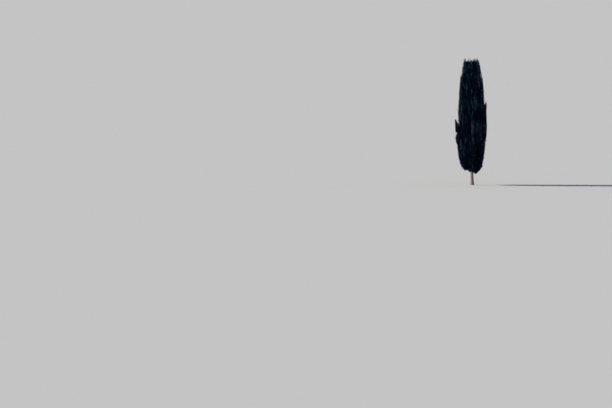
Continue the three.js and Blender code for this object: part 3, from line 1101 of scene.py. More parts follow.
@dataclass(frozen=True)
class Boughs:
    """The boughs: tapering limbs with a collar at the trunk, and bark that goes on up the stem."""

    sides: int = 16
    step: float = 0.034
    least_rings: int = 8
    samples: int = 400
    seed_step: float = 3.7
    collar: float = 0.55
    collar_length: float = 0.090
    stem_share: float = 0.34
    climber_share: float = 0.85
    climber_thickening: float = 1.20
    stem_thickening: float = 1.15
    relief: BarkRelief = field(default_factory=lambda: BarkRelief(thread=0.018, depth_share=0.075))

    def limb(self, plume: Plume) -> tuple[Vec, Vec]:
        """The surface of one bough.

        Args:
            plume: The plume that it carries.

        Returns:
            The rings of points, and each point's place in the bark's pattern.
        """
        bough, shares = plume.lay_bough(), np.linspace(0, 1, self.samples)
        climb = shares[1:] * (self.climber_share if plume.wish.climbs else self.stem_share)
        route = np.vstack([bough.points(shares), plume.stem.points(climb)])
        thickness = np.concatenate([
            lerp(plume.bough_radius(), plume.stem_radius(), shares),
            lerp(plume.stem_radius(), plume.habit.stem_tip_radius, climb) * self.stem_thickening,
        ])
        if plume.wish.climbs:
            thickness *= self.climber_thickening
        lengths = np.concatenate([[0.0], np.cumsum(np.linalg.norm(np.diff(route, axis=0), axis=1))])
        count = max(self.least_rings, round(lengths[-1] / self.step))
        evenly = np.linspace(0, lengths[-1], count)
        spots = np.stack([np.interp(evenly, lengths, line) for line in route.T], axis=1)
        aheads = unit(np.gradient(spots, axis=0))
        start = plume.bough_radius()
        rings, grain = [], []
        for spot, ahead, along, plain in zip(spots, aheads, evenly, np.interp(evenly, lengths, thickness)):
            side = unit(plume.outward - ahead * float(ahead @ plume.outward))
            across = np.cross(ahead, side)
            plain *= 1 + self.collar * math.exp(-along / self.collar_length)
            for corner in range(self.sides):
                angle = FULL_TURN * corner / self.sides
                radius = plain + self.relief.height(angle, along, plain, self.seed_step * plume.index)
                spoke = side * math.cos(angle) + across * math.sin(angle)
                rings.append(spot + spoke * radius)
                grain.append([math.cos(angle) * start + plume.index, math.sin(angle) * start, along])
        return np.array(rings).reshape(-1, self.sides, 3), np.array(grain)

    def build(self, plumes: Sequence[Plume]) -> bpy.types.Object:
        """Make the boughs as one piece.

        Args:
            plumes: Every plume. The leaders have no bough.

        Returns:
            The piece.
        """
        carried = [plume for plume in plumes if not plume.leads]
        mesh = tubes_mesh("bough bark", [self.limb(plume) for plume in carried])
        mesh.materials.append(PAINTED_LIGHT_BOUGH_BARK.material())
        return place_piece("bough_bark", mesh, [f"bough_{plume.name}" for plume in carried])


class SprayForm(Enum):
    """The forms of a spray of foliage: blades, spread in degrees, roll in degrees, curl, girth, seed."""

    FEATHERED = (14, 36, 55, 0.05, 1.04, 11)
    BUSHY = (14, 42, 85, 0.02, 1.04, 23)
    CURLED = (14, 32, 70, 0.10, 1.04, 37)
    SLIM = (13, 26, 75, 0.03, 0.95, 51)
    COARSE = (8, 44, 70, 0.06, 1.50, 67)

    def number(self) -> int:
        """The form's place in the row of forms."""
        return list(SprayForm).index(self)


@dataclass(frozen=True)
class Sprays:
    """Small sprays, each a few folded blades that stand round a thin rib. A spray is 1 m long."""

    blade_width: float = 0.24
    blade_fold: float = 0.06
    blade_belly: float = 0.36
    blade_length: float = 0.34
    least_share: float = 0.45
    unevenness: float = 0.24
    rib_width: float = 0.34
    rib_depth: float = 0.3
    lowest_blade: float = 0.03
    bladed_part: float = 0.74
    swell_power: float = 0.8
    closing: float = -0.85
    closing_power: float = 3.0

    def blade(self) -> bpy.types.Object:
        """Make one blade.

        Returns:
            The blade, 1 m long, which stands on the origin and faces +Y.
        """
        half = self.blade_width / 2
        corners = [
            (0, 0, 0),
            (half, self.blade_fold, self.blade_belly),
            (0, 0, 1),
            (-half, self.blade_fold, self.blade_belly),
        ]
        mesh = bpy.data.meshes.new("blade")
        mesh.from_pydata(corners, [], [(0, 1, 2), (0, 2, 3)])
        return bpy.data.objects.new("blade", mesh)

    def tree(self) -> bpy.types.NodeTree:
        """The nodes that set blades along a rib.

        Returns:
            The tree. Its inputs are the blade and the spray's sizes.
        """
        takes = {
            "Geometry": ("NodeSocketGeometry", None),
            "Blade": ("NodeSocketObject", None),
            "Blades": ("NodeSocketInt", 13),
            "Blade Length": ("NodeSocketFloat", self.blade_length),
            "Spread": ("NodeSocketFloat", 0.8),
            "Roll": ("NodeSocketFloat", 0.4),
            "Curl": ("NodeSocketFloat", 0.05),
            "Girth": ("NodeSocketFloat", 1.0),
            "Unevenness": ("NodeSocketFloat", self.unevenness),
            "Rib Width": ("NodeSocketFloat", self.rib_width),
            "Seed": ("NodeSocketInt", 1),
            "Finish": ("NodeSocketMaterial", None),
        }
        sketch = NodeSketch.group("spray", "GeometryNodeTree", takes, {"Geometry": "NodeSocketGeometry"})
        index = sketch.add("GeometryNodeInputIndex").outputs[0]
        count = sketch.taken("Blades")
        along = sketch.sum("DIVIDE", sketch.sum("ADD", index, 0.5), count)
        height = sketch.sum("MULTIPLY_ADD", along, self.bladed_part, self.lowest_blade)
        bend = sketch.sum("MULTIPLY", sketch.sum("POWER", along, 2.0), sketch.taken("Curl"))
        spot = sketch.add("ShaderNodeCombineXYZ", {"X": bend, "Z": height}).outputs[0]
        dots = sketch.add("GeometryNodeMeshLine", {"Count": count}).outputs[0]
        dots = sketch.add("GeometryNodeSetPosition", {"Geometry": dots, "Position": spot}).outputs[0]
        widest = sketch.sum("POWER", along, self.swell_power)
        swell = sketch.sum("SINE", sketch.sum("MULTIPLY", widest, math.pi))
        size = sketch.sum("MULTIPLY_ADD", swell, 1 - self.least_share, self.least_share)
        size = sketch.sum("MULTIPLY", size, sketch.taken("Blade Length"))
        size = sketch.sum("MULTIPLY", size, self.uneven(sketch, 0, 1.0, sketch.taken("Unevenness")))
        late = sketch.sum("POWER", along, self.closing_power)
        close = sketch.sum("MULTIPLY_ADD", late, self.closing, 1.0)
        tilt = sketch.sum("MULTIPLY", close, sketch.taken("Spread"))
        tilt = sketch.sum("MULTIPLY", tilt, self.uneven(sketch, 1, 1.0, sketch.taken("Unevenness")))
        flip = sketch.sum("MULTIPLY", sketch.sum("MODULO", index, 2.0), math.pi)
        sway = self.uneven(sketch, 2, math.pi / 2, sketch.taken("Roll"))
        swing = sketch.sum("ADD", flip, sway)
        angles = sketch.add("ShaderNodeCombineXYZ", {"Y": tilt, "Z": swing}).outputs[0]
        turn = sketch.add("FunctionNodeEulerToRotation", {0: angles}).outputs[0]
        width = sketch.sum("MULTIPLY", size, sketch.taken("Girth"))
        scale = sketch.add("ShaderNodeCombineXYZ", {"X": width, "Y": size, "Z": size}).outputs[0]
        blade = sketch.add("GeometryNodeObjectInfo", {"Object": sketch.taken("Blade")}).outputs["Geometry"]
        joins = {"Points": dots, "Instance": blade, "Rotation": turn, "Scale": scale}
        set_out = sketch.add("GeometryNodeInstanceOnPoints", joins)
        joins = {"X": sketch.taken("Rib Width"), "Y": self.rib_depth, "Z": 1.0}
        slim = sketch.add("ShaderNodeCombineXYZ", joins)
        edge_on = (0.0, 0.0, math.pi / 2)
        joins = {"Geometry": blade, "Rotation": edge_on, "Scale": slim.outputs[0]}
        rib = sketch.add("GeometryNodeTransform", joins)
        both = sketch.add("GeometryNodeJoinGeometry")
        for part in (set_out.outputs[0], rib.outputs[0]):
            sketch.tree.links.new(part, both.inputs[0])
        sketch.finish(both.outputs[0], sketch.taken("Finish"))
        return sketch.tree

    @staticmethod
    def uneven(sketch: NodeSketch, row: int, middle: float, spread: Socket) -> Socket:
        """A number for each blade, drawn evenly from the spread to both sides of a middle value.

        Args:
            sketch: The nodes of the spray, whose input Seed the numbers follow from.
            row: A number that differs from one use to the next.
            middle: The middle value.
            spread: How far the numbers may lie from it.

        Returns:
            The socket of the number.
        """
        drawn = sketch.add("FunctionNodeRandomValue", data_type="FLOAT")
        sketch.tree.links.new(sketch.sum("SUBTRACT", middle, spread), drawn.inputs[2])
        sketch.tree.links.new(sketch.sum("ADD", spread, middle), drawn.inputs[3])
        sketch.tree.links.new(sketch.sum("ADD", sketch.taken("Seed"), 100.0 * row), drawn.inputs["Seed"])
        return drawn.outputs[1]

    def build(self, finish: bpy.types.Material) -> bpy.types.Collection:
        """Make one spray of each form.

        Args:
            finish: The material that they hold until the colours are dealt out.

        Returns:
            A collection of the sprays, in the order of SprayForm.
        """
        sprays = bpy.data.collections.new("sprays")
        bpy.context.scene.collection.children.link(sprays)
        blade, tree = self.blade(), self.tree()
        sprays.objects.link(blade)
        made = []
        for number, form in enumerate(SprayForm):
            blades, spread, roll, curl, girth, seed = form.value
            inputs = {
                "Blade": blade,
                "Blades": blades,
                "Spread": math.radians(spread),
                "Roll": math.radians(roll),
                "Curl": curl,
                "Girth": girth,
                "Seed": seed,
                "Finish": finish,
            }
            mesh = run_nodes(tree, bpy.data.meshes.new("rib"), inputs)
            made.append(bpy.data.objects.new(f"spray_{number}_{form.name.lower()}", mesh))
        bpy.data.objects.remove(blade)
        for spray in made:
            sprays.objects.link(spray)
        return sprays


@dataclass(frozen=True)
class LitStrand:
    """A strand of the near side that catches more light, painted into its sprays as lighter colours, given by
    its ends as seen from the front.
    """

    low: Pair
    high: Pair
    gain: float
    half_width: float = 0.09

    def gain_at(self, points: Vec) -> Vec:
        """How much lighter the strand makes sprays.

        Args:
            points: Where they stand, one row for each.

        Returns:
            What their light gains.
        """
        low, high = np.array(self.low), np.array(self.high)
        seen = points[:, [0, 2]] - low
        share = np.clip(seen @ (high - low) / float((high - low) @ (high - low)), 0, 1)
        away = np.linalg.norm(seen - share[:, None] * (high - low), axis=1)
        return self.gain * np.exp(-((away / self.half_width) ** 2)) * (points[:, 1] < 0)


# Painted light: where sprays on the near side are made lighter, as if the sun caught them.
LIT_STRANDS = (
    LitStrand(low=(0.60, 9.2), high=(0.46, 11.2), gain=0.70),
    LitStrand(low=(-0.72, 10.5), high=(-0.62, 11.4), gain=0.45),
    LitStrand(low=(0.17, 7.4), high=(0.24, 8.6), gain=0.60),
    LitStrand(low=(-1.10, 8.7), high=(-1.02, 10.0), gain=0.45, half_width=0.07),
    LitStrand(low=(-1.10, 6.1), high=(-0.98, 7.3), gain=0.45),
    LitStrand(low=(-1.50, 5.4), high=(-1.38, 6.0), gain=0.35),
    LitStrand(low=(0.08, 4.75), high=(0.08, 6.10), gain=1.30, half_width=0.08),
    LitStrand(low=(0.02, 4.15), high=(0.02, 4.35), gain=0.60, half_width=0.07),
    LitStrand(low=(-0.66, 3.9), high=(-0.60, 4.5), gain=0.35),
)


@dataclass(frozen=True)
class Batch:
    """Sprays, one row for each: root, place on the shoot, way it goes and faces, length, form and tint."""

    root: Vec
    place: Vec
    ahead: Vec
    facing: Vec
    size: Vec
    form: Vec
    tint: Vec

    def only(self, rows: Vec) -> Batch:
        """The sprays of some rows."""
        return Batch(*(getattr(self, part.name)[rows] for part in fields(self)))


@dataclass
class Growth:
    """What grows in one plume, and the row of numbers that it draws on.

    The sprays are in batches, and the shoots are lines of points with their thickness.
    """

    plume: Plume
    draws: np.random.Generator
    batches: list[Batch] = field(default_factory=list)
    shoots: list[tuple[Vec, Vec]] = field(default_factory=list)

    def shoot(self, course: Course, radii: Pair, count: int, end: float = 1.0) -> None:
        """Add a shoot of a few points, which thins from its foot to its tip.

        Args:
            course: The course that it follows.
            radii: How thick it is at its foot and at its tip.
            count: How many points it has.
            end: The share of the course at which it ends.
        """
        shares = np.linspace(0, end, count)
        self.shoots.append((course.points(shares), lerp(*radii, shares / end)))

    def dress(self, course: Course, batch: Batch, radii: Pair, count: int) -> None:
        """Add sprays and the shoot that bears them, which ends where the highest of them stands.

        Args:
            course: The course that the shoot follows.
            batch: The sprays. Where there are none, there is no shoot either.
            radii: How thick it is at its foot and at its tip.
            count: How many points it has.
        """
        if len(batch.size):
            self.batches.append(batch)
            self.shoot(course, radii, count, float(batch.place.max()))


@dataclass(frozen=True)
class Belt:
    """Extra sprays in a plume's sector of the crown, which close what its shoots leave open there.

    The half angle is in degrees to each side of the plume. The distances are level, and the slopes say how
    far the sprays lean.
    """

    sprays: int
    half_angle: float
    distances: Pair
    slopes: Pair

    def sides(self, growth: Growth) -> Vec:
        """A level direction for each spray, drawn within the sector."""
        swing = growth.draws.uniform(-self.half_angle, self.half_angle, self.sprays)
        return heading(growth.plume.azimuth + np.radians(swing))


@dataclass(frozen=True)
class Grower:
    """Grows shoots and sprays in a plume, by the rule that made the plume and carried to finer twigs.

    The shoots leave the stem one after another, each turned by the golden share of a full turn. Each goes
    out to the plume's surface and then up along it, and sprays stand round it by the same share. Coarser
    sprays in the darkest colour, painted shade, fill the inside. What would leave the plume's space is
    tried shorter and steeper, then left out.
    """

    area_per_shoot: float = 0.046
    inner_limit: float = -0.35
    stub: float = 0.030
    room_share: float = 0.97
    shoot_length: float = 0.72
    shoot_shares: Pair = (1.1, 0.75)
    shoot_points: int = 5
    shoot_radius: Pair = (0.006, 0.0015)
    shoot_drop: float = 0.12
    shoot_sag: float = 0.02
    shoot_sway: float = 0.14
    leaning: Pair = (0.24, 0.14)
    lean_spread: float = 0.06
    foot_share: float = 0.10
    foot_way: Pair = (0.15, 0.9)
    stem_points: int = 14
    sprays_per_shoot: int = 22
    first_spray: float = 0.34
    spray_length: Pair = (0.25, 0.14)
    length_spread: Pair = (0.8, 1.2)
    spray_tilt: Pair = (50, 12)
    tilt_spread: Pair = (0.75, 1.25)
    facing_spread: float = 0.8
    spray_half_width: float = 0.25
    spray_middle: float = 0.6
    spray_lift: float = 0.15
    shown_side: float = -0.25
    hidden_kept: float = 0.15
    sizes: tuple[float, ...] = (1.0, 0.8, 0.6)
    leans: tuple[float, ...] = (1.0, 0.2, -0.6)
    area_per_filler: float = 0.013
    filler_length: Pair = (0.44, 0.32)
    filler_tilt: Pair = (8, 62)
    filler_drop: float = 0.3
    filler_spread: Pair = (0.02, 1.0)
    filler_depth: float = 0.92
    filler_spare: float = 0.10
    filler_inset: float = 0.10
    crevice_reach: float = 0.24
    crevice_open: float = 0.30
    seam_points: int = 760
    seam_depth: float = 0.09
    seam_distances: Pair = (0.05, 0.75)
    seam_tilt: Pair = (0, 40)
    seam_shares: Pair = (0.7, 1.0)
    fringe: float = 0.38
    fringe_slope: float = 0.3
    backing_points: int = 1900
    backing_heights: Pair = (4.0, 7.2)
    backing_side: float = 0.8
    core_belt: Belt = Belt(40, 34, (0.0, 0.16), (0.0, 0.5))
    core_inset: float = 0.4
    hem_belt: Belt = Belt(150, 34, (0.20, 0.84), (0.0, 1.4))
    hem_levels: Pair = (1.15, 2.6)
    hem_spread: Pair = (-0.11, 0.12)
    hem_inset: float = -0.02
    crest_belt: Belt = Belt(80, 36, (0.04, 0.66), (-0.15, 0.25))
    crest_heights: Pair = (10.9, 11.44)
    crest_wave: Triple = (0.16, 19.0, 0.6)
    rim_length: Pair = (0.22, 0.34)
    rim_tone: float = 0.4
    tip_sprays: int = 34
    tip_length: Pair = (0.30, 0.22)
    tip_points: int = 6
    tip_knots: Triple = (0.8, 0.92, 1.0)
    tip_tone: Pair = (0.5, -0.06)
    first_tip_spray: float = 0.02
    side_tips: tuple[Pair, ...] = ((-0.04, 0.03), (0.04, 0.05), (0.10, 0.13), (0.18, 0.24), (0.27, 0.35))
    shoulder_shoots: int = 7
    shoulder_width: float = 0.30
    first_shoulder_spray: float = 0.15
    shoulder_start: Pair = (0.45, 0.6)
    shoulder_fall: Pair = (0.2, 0.6)
    shoulder_round: float = 0.05
    shoulder_bulge: float = 0.06
    samples: int = 60
    strand_size: Pair = (0.12, 1.20)
    gap_depth: float = 0.14
    light_shares: tuple[float, float, float, float] = (0.35, 0.95, 0.34, 0.35)
    light_rise: float = 0.024
    light_level: float = 6.5
    light_spread: float = 0.12
    tint_steps: tuple[float, ...] = (0.47, 0.74, 0.95, 1.14)
    dry_share: float = 0.004

    def spread_along(self, plume: Plume, area_each: float) -> Vec:
        """Shares of the axis that part the plume's surface evenly.

        Args:
            plume: The plume.
            area_each: The surface that goes with each share.

        Returns:
            The shares, from low to high.
        """
        shares = np.linspace(0.0, 0.985, self.samples)
        around = np.linspace(0, FULL_TURN, 8, endpoint=False)
        girth = [np.mean([plume.core_radius(share, angle) for angle in around]) for share in shares]
        steps = np.linalg.norm(np.diff(plume.axis.points(shares), axis=0), axis=1)
        bands = FULL_TURN * (np.array(girth[1:]) + np.array(girth[:-1])) / 2 * steps
        area = np.concatenate([[0.0], np.cumsum(bands)])
        count = max(12, round(area[-1] / area_each))
        return np.interp((np.arange(count) + 0.5) / count * area[-1], area, shares)

    def grow(self, plume: Plume) -> Growth:
        """Grow one plume.

        Args:
            plume: The plume.

        Returns:
            Its shoots and sprays.
        """
        growth = Growth(plume, np.random.default_rng(plume.habit.seed * 3 + plume.index))
        growth.shoot(plume.stem, (plume.stem_radius(), plume.habit.stem_tip_radius), self.stem_points)
        for number, along in enumerate(self.spread_along(plume, self.area_per_shoot)):
            angle = plume.azimuth + FULL_TURN * ((number * GOLDEN) % 1)
            if number % 3 == 0 or math.cos(angle - plume.azimuth) >= self.inner_limit:
                self.shoot(growth, float(along), angle)
        self.fill(growth)
        self.close_seams(growth)
        self.tip(growth)
        for top in plume.wish.shoulders:
            self.shoulder(growth, np.array(top))
        if plume.name not in plume.habit.crevice:
            self.core(growth)
        if plume.ring.name == "skirt":
            self.hem(growth)
        if plume.leads:
            self.crest(growth)
        return growth

    def shoot(self, growth: Growth, along: float, angle: float) -> None:
        """Grow a shoot from the stem to the surface and up, with its sprays.

        Args:
            growth: What the shoot is added to.
            along: The share of the axis where it leaves.
            angle: Its direction round the axis.
        """
        plume, draws = growth.plume, growth.draws
        aside = heading(angle)
        spot = plume.axis.point(along)
        out = min(plume.core_radius(along, angle) + self.stub, self.room_share * plume.room(spot, aside))
        end = spot + aside * out
        base = plume.axis.point(max(0.05, along - self.shoot_drop))
        lean = lerp(*self.leaning, along) + draws.uniform(-self.lean_spread, self.lean_spread)
        rising = min(1.0, along / self.foot_share)
        sway = quarter_left(aside) * draws.uniform(-self.shoot_sway, self.shoot_sway)
        full = self.shoot_length * lerp(*self.shoot_shares, along) * draws.uniform(*self.length_spread)
        up, level = self.foot_way
        rise = UP * lerp(up, 1.0, rising)
        ways = [rise + aside * lerp(level, lean * share, rising) for share in self.leans]
        ways = [(unit(way + sway), full * size) for way in ways for size in self.sizes]
        ends = np.array([end + way * (length + self.spray_length[1]) for way, length in ways])
        good = plume.in_reach(ends, plume.habit.interlaced)
        if not good.any():
            return
        way, length = ways[int(np.argmax(good))]
        course = Course([base, lerp(base, end, 0.6) - UP * self.shoot_sag, end, end + way * length])
        places = np.linspace(self.first_spray, 1.0, self.sprays_per_shoot)
        batch = self.clothed(growth, course, places, aside, draws.uniform(), self.spray_length)
        growth.dress(course, batch, self.shoot_radius, self.shoot_points)

    def clothed(
        self,
        growth: Growth,
        course: Course,
        places: Vec,
        aside: Vec,
        tone: float,
        lengths: Pair,
        inset: float = 0.0,
    ) -> Batch:
        """The sprays that stand round a shoot.

        Args:
            growth: The plume that grows.
            course: The shoot.
            places: Where on the shoot they stand, as shares of it. The last spray leads at its tip.
            aside: The way out of the plume, where more of them stand.
            tone: How light they are, from 0 to 1.
            lengths: How long the lowest and the highest are.
            inset: How far they keep inside the crown's outline. Below 0 they may stand out of it.

        Returns:
            Those that fit into the plume's space.
        """
        draws, count = growth.draws, len(places)
        rise = np.linspace(0, 1, count)
        axes = course.aheads(places)
        around = FULL_TURN * ((np.arange(count) * GOLDEN + tone) % 1)
        sides = turned(unit(aside - axes * dot(axes, aside)), axes, around)
        tilts = np.radians(lerp(*self.spray_tilt, rise)) * draws.uniform(*self.tilt_spread, count)
        tilts[-1] = 0.0
        forms = draws.integers(0, 3, count)
        forms[-1] = SprayForm.SLIM.number()
        roots = course.points(places)
        lie = self.leaned(growth, axes, sides, tilts)
        sizes = lerp(*lengths, rise) * draws.uniform(*self.length_spread, count)
        tints = self.tints(growth, roots, tone, rise)
        shown = (sides @ aside > self.shown_side) | (draws.uniform(size=count) < self.hidden_kept)
        shown[-1] = True
        batch = Batch(roots, places, *lie, sizes, forms, tints).only(shown)
        return self.fitted(growth.plume, batch, growth.plume.habit.interlaced, inset)

    def leaned(self, growth: Growth, axes: Vec, sides: Vec, tilts: Vec) -> tuple[Vec, Vec]:
        """Lean sprays off their shoot.

        Args:
            growth: The plume that grows.
            axes: Which way the shoot runs, or runs at each spray.
            sides: On which side of it each stands.
            tilts: How far each leans, in radians.

        Returns:
            Which way each goes, and which way it faces.
        """
        ahead = axes * np.cos(tilts)[:, None] + sides * np.sin(tilts)[:, None]
        ahead = unit(ahead + UP * self.spray_lift)
        facing = unit(sides - ahead * dot(ahead, sides))
        swing = growth.draws.uniform(-self.facing_spread, self.facing_spread, len(tilts))
        return ahead, turned(facing, ahead, swing)

    def fitted(self, plume: Plume, batch: Batch, spare: float, inset: float = 0.0) -> Batch:
        """Shorten the sprays that would leave the plume's space, and drop those that don't fit short either.

        Args:
            plume: The plume.
            batch: The sprays at the length that they have if there is room.
            spare: How far they may reach across the plume's borders.
            inset: How far they keep inside the crown's outline.

        Returns:
            Those that fit.
        """
        across = np.cross(batch.ahead, batch.facing) * self.spray_half_width
        middle = self.spray_middle * batch.ahead
        edges = np.stack([0 * across, batch.ahead, middle + across, middle - across], axis=1)
        reach = batch.size[:, None] * np.array(self.sizes)
        points = batch.root[:, None, None] + reach[:, :, None, None] * edges[:, None]
        good = plume.in_reach(points.reshape(-1, 3), spare, inset).reshape(points.shape[:3]).all(axis=2)
        size = reach[np.arange(len(reach)), good.argmax(axis=1)]
        return replace(batch, size=size).only(good.any(axis=1))

    def shade(self, growth: Growth, roots: Vec, lie: tuple[Vec, Vec], sizes: Vec) -> None:
        """Add coarse sprays in the darkest colour, painted shade, where they fit well inside the plume.

        Args:
            growth: What they are added to.
            roots: Their roots.
            lie: Which way each goes, and which way it faces.
            sizes: How long they are.
        """
        plume, count = growth.plume, len(roots)
        forms = np.full(count, SprayForm.COARSE.number())
        if plume.name in plume.habit.crevice:
            forms[np.abs(roots[:, 0]) < self.crevice_reach] = SprayForm.FEATHERED.number()
        # Painted shade: every such spray takes the darkest colour.
        tints = np.full(count, int(Tint.DEEP))
        batch = Batch(roots, np.zeros(count), *lie, sizes, forms, tints)
        growth.batches.append(self.fitted(plume, batch, self.filler_spare, self.filler_inset))

    def fill(self, growth: Growth) -> None:
        """Fill the shade inside the plume with coarser sprays in painted shade, which stand all round the
        stem.

        Args:
            growth: What they are added to.
        """
        plume, draws = growth.plume, growth.draws
        alongs = self.spread_along(plume, self.area_per_filler)
        count = len(alongs)
        angles = FULL_TURN * ((np.arange(count) * GOLDEN) % 1)
        sides = heading(angles)
        girth = np.array([plume.core_radius(along, angle) for along, angle in zip(alongs, angles)])
        depth = girth * np.sqrt(draws.uniform(*self.filler_spread, count)) * self.filler_depth
        sizes = lerp(*self.filler_length, alongs) * draws.uniform(*self.length_spread, count)
        drop = UP * self.filler_drop * sizes[:, None]
        roots = plume.axis.points(alongs) + sides * depth[:, None] - drop
        tilts = np.radians(draws.uniform(*self.filler_tilt, count))
        self.shade(growth, roots, self.leaned(growth, UP, sides, tilts), sizes)

    def close_seams(self, growth: Growth) -> None:
        """Close the seams with the next plumes by sprays in painted shade, where points drawn at random fall
        near them.

        Args:
            growth: What they are added to.
        """
        plume, draws = growth.plume, growth.draws
        low, high = self.backing_heights
        behind = plume.outward[1] > self.backing_side and low < plume.middle[2] < high
        count = self.backing_points if behind else self.seam_points
        alongs = draws.uniform(0, 1, count)
        sides = heading(draws.uniform(0, FULL_TURN, count))
        roots = plume.axis.points(alongs) + sides * draws.uniform(*self.seam_distances, count)[:, None]
        near = np.abs(plume.clearance(roots)) < self.seam_depth
        if plume.name in plume.habit.crevice:
            near &= np.abs(roots[:, 0]) > self.crevice_open
        roots, sides, alongs = roots[near], sides[near], alongs[near]
        tilts = np.radians(draws.uniform(*self.seam_tilt, len(roots)))
        lie = self.leaned(growth, UP, sides, tilts)
        sizes = lerp(*self.filler_length, alongs) * draws.uniform(*self.seam_shares, len(roots))
        self.shade(growth, roots, lie, sizes)
        outer = plume.crown.past(roots) > -self.fringe
        axes = unit(UP + sides[outer] * self.fringe_slope)
        self.rim(growth, roots[outer], axes, sides[outer])

    def core(self, growth: Growth) -> None:
        """Close the shade beside the trunk with coarse sprays in painted shade along the plume's inner side.

        Args:
            growth: What they are added to.
        """
        plume, draws, belt = growth.plume, growth.draws, self.core_belt
        sides = belt.sides(growth)
        low, high = plume.axis.point(0)[2], plume.axis.point(1)[2]
        first, last = (plume.keep - self.core_inset * plume.hollow() + reach for reach in belt.distances)
        roots = sides * draws.uniform(first, last, belt.sprays)[:, None]
        roots += UP * draws.uniform(low, high, belt.sprays)[:, None]
        roots[:, 0] += [plume.trunk.bow(min(height, plume.trunk.tip_height)) for height in roots[:, 2]]
        axes = unit(UP + sides * draws.uniform(*belt.slopes, belt.sprays)[:, None])
        lie = self.leaned(growth, axes, sides, np.zeros(belt.sprays))
        sizes = draws.uniform(*self.filler_length[::-1], belt.sprays)
        self.shade(growth, roots, lie, sizes)

    def hem(self, growth: Growth) -> None:
        """Close the rounded underside of the crown with small sprays, from the trunk out.

        Args:
            growth: What they are added to.
        """
        plume, draws, belt = growth.plume, growth.draws, self.hem_belt
        sides = belt.sides(growth)
        distances = draws.uniform(*belt.distances, belt.sprays)
        levels = np.linspace(*self.hem_levels, 40)
        under = np.interp(distances, plume.crown.girth(levels)[1], levels)
        heights = np.maximum(under, plume.foot_height) + draws.uniform(*self.hem_spread, belt.sprays)
        roots = sides * distances[:, None] + UP * heights[:, None]
        axes = unit(sides + UP * draws.uniform(*belt.slopes, belt.sprays)[:, None])
        self.rim(growth, roots, axes, sides, self.hem_inset)

    def crest(self, growth: Growth) -> None:
        """Close the crown's top between the leaders with small upright sprays, to a ragged height.

        Args:
            growth: What they are added to.
        """
        plume, draws, belt = growth.plume, growth.draws, self.crest_belt
        sides = belt.sides(growth)
        roots = sides * draws.uniform(*belt.distances, belt.sprays)[:, None]
        rise, pace, slower = self.crest_wave
        low, high = self.crest_heights
        tops = high + rise * np.sin(pace * roots[:, 0]) * np.cos(slower * pace * roots[:, 1])
        roots[:, 2] = lerp(low, tops, draws.uniform(size=belt.sprays))
        roots[:, 0] += plume.crown.girth(roots[:, 2])[0]
        axes = unit(UP + sides * draws.uniform(*belt.slopes, belt.sprays)[:, None])
        self.rim(growth, roots, axes, sides)

    def rim(self, growth: Growth, roots: Vec, axes: Vec, sides: Vec, inset: float = 0.0) -> None:
        """Add small sprays at an edge of the crown.

        Args:
            growth: What they are added to.
            roots: Their roots.
            axes: Which way they go.
            sides: On which side of the trunk they stand.
            inset: How far they keep inside the crown's outline. Below 0 they may stand out of it.
        """
        plume, draws, count = growth.plume, growth.draws, len(roots)
        lie = self.leaned(growth, axes, sides, np.zeros(count))
        sizes = draws.uniform(*self.rim_length, count)
        forms = draws.integers(0, 3, count)
        tints = self.tints(growth, roots, self.rim_tone, draws.uniform(size=count))
        batch = Batch(roots, np.zeros(count), *lie, sizes, forms, tints)
        growth.batches.append(self.fitted(plume, batch, plume.habit.interlaced, inset))

    def tints(self, growth: Growth, roots: Vec, tone: float, rise: Vec) -> Vec:
        """Deal out the colours: lighter in upright strands, towards tips and higher up; painted light on the
        lit strands; painted shade, darker, in the gaps between plumes.

        Args:
            growth: The plume that grows.
            roots: The roots of the sprays.
            tone: How light their shoot is, from 0 to 1.
            rise: How high on their shoot they stand, from 0 to 1.

        Returns:
            A tint for each spray.
        """
        draws = growth.draws
        width, length = self.strand_size
        spots = roots / np.array([width, width, length])
        strand = np.array([noise.noise(Vector(spot)) for spot in spots])
        # Painted shade: sprays near the borders with the next plumes come out darker.
        in_light = np.clip(growth.plume.clearance(roots) / self.gap_depth, 0, 1)
        by_gap, by_strand, by_tone, by_rise = self.light_shares
        light = by_gap * in_light + by_strand * strand + by_tone * tone + by_rise * rise
        # Painted light: the lit strands make sprays lighter.
        lit = sum(lit_strand.gain_at(roots) for lit_strand in LIT_STRANDS)
        light += self.light_rise * (roots[:, 2] - self.light_level) + lit
        light += draws.uniform(-self.light_spread, self.light_spread, len(roots))
        tints = np.searchsorted(self.tint_steps, light)
        tints[draws.uniform(size=len(roots)) < self.dry_share] = int(Tint.DRY)
        return tints

    def tip(self, growth: Growth) -> None:
        """Grow the pointed tip with a slim spray at its apex, and lower tips beside one that stands out.

        Args:
            growth: What the tips are added to.
        """
        plume = growth.plume
        apex = plume.axis.point(1) + plume.lead * plume.tip_length * (1 - plume.habit.sunk)
        knots = [*plume.axis.points(np.array(self.tip_knots)), apex - plume.lead * self.tip_length[1]]
        places = np.linspace(self.first_tip_spray, 1.0, self.tip_sprays)
        aside = unit(plume.outward - plume.lead * float(plume.lead @ plume.outward))
        beside = self.side_tips if plume.wish.tip and not plume.leads else ()
        for step, (inward, down) in enumerate([(0.0, 0.0), *beside]):
            course = Course(np.array(knots) - plume.outward * inward - UP * down)
            tone = self.tip_tone[0] + self.tip_tone[1] * step
            inset = plume.wish.tip_inset
            batch = self.clothed(growth, course, places, aside, tone, self.tip_length, inset)
            growth.dress(course, batch, self.shoot_radius, self.tip_points)

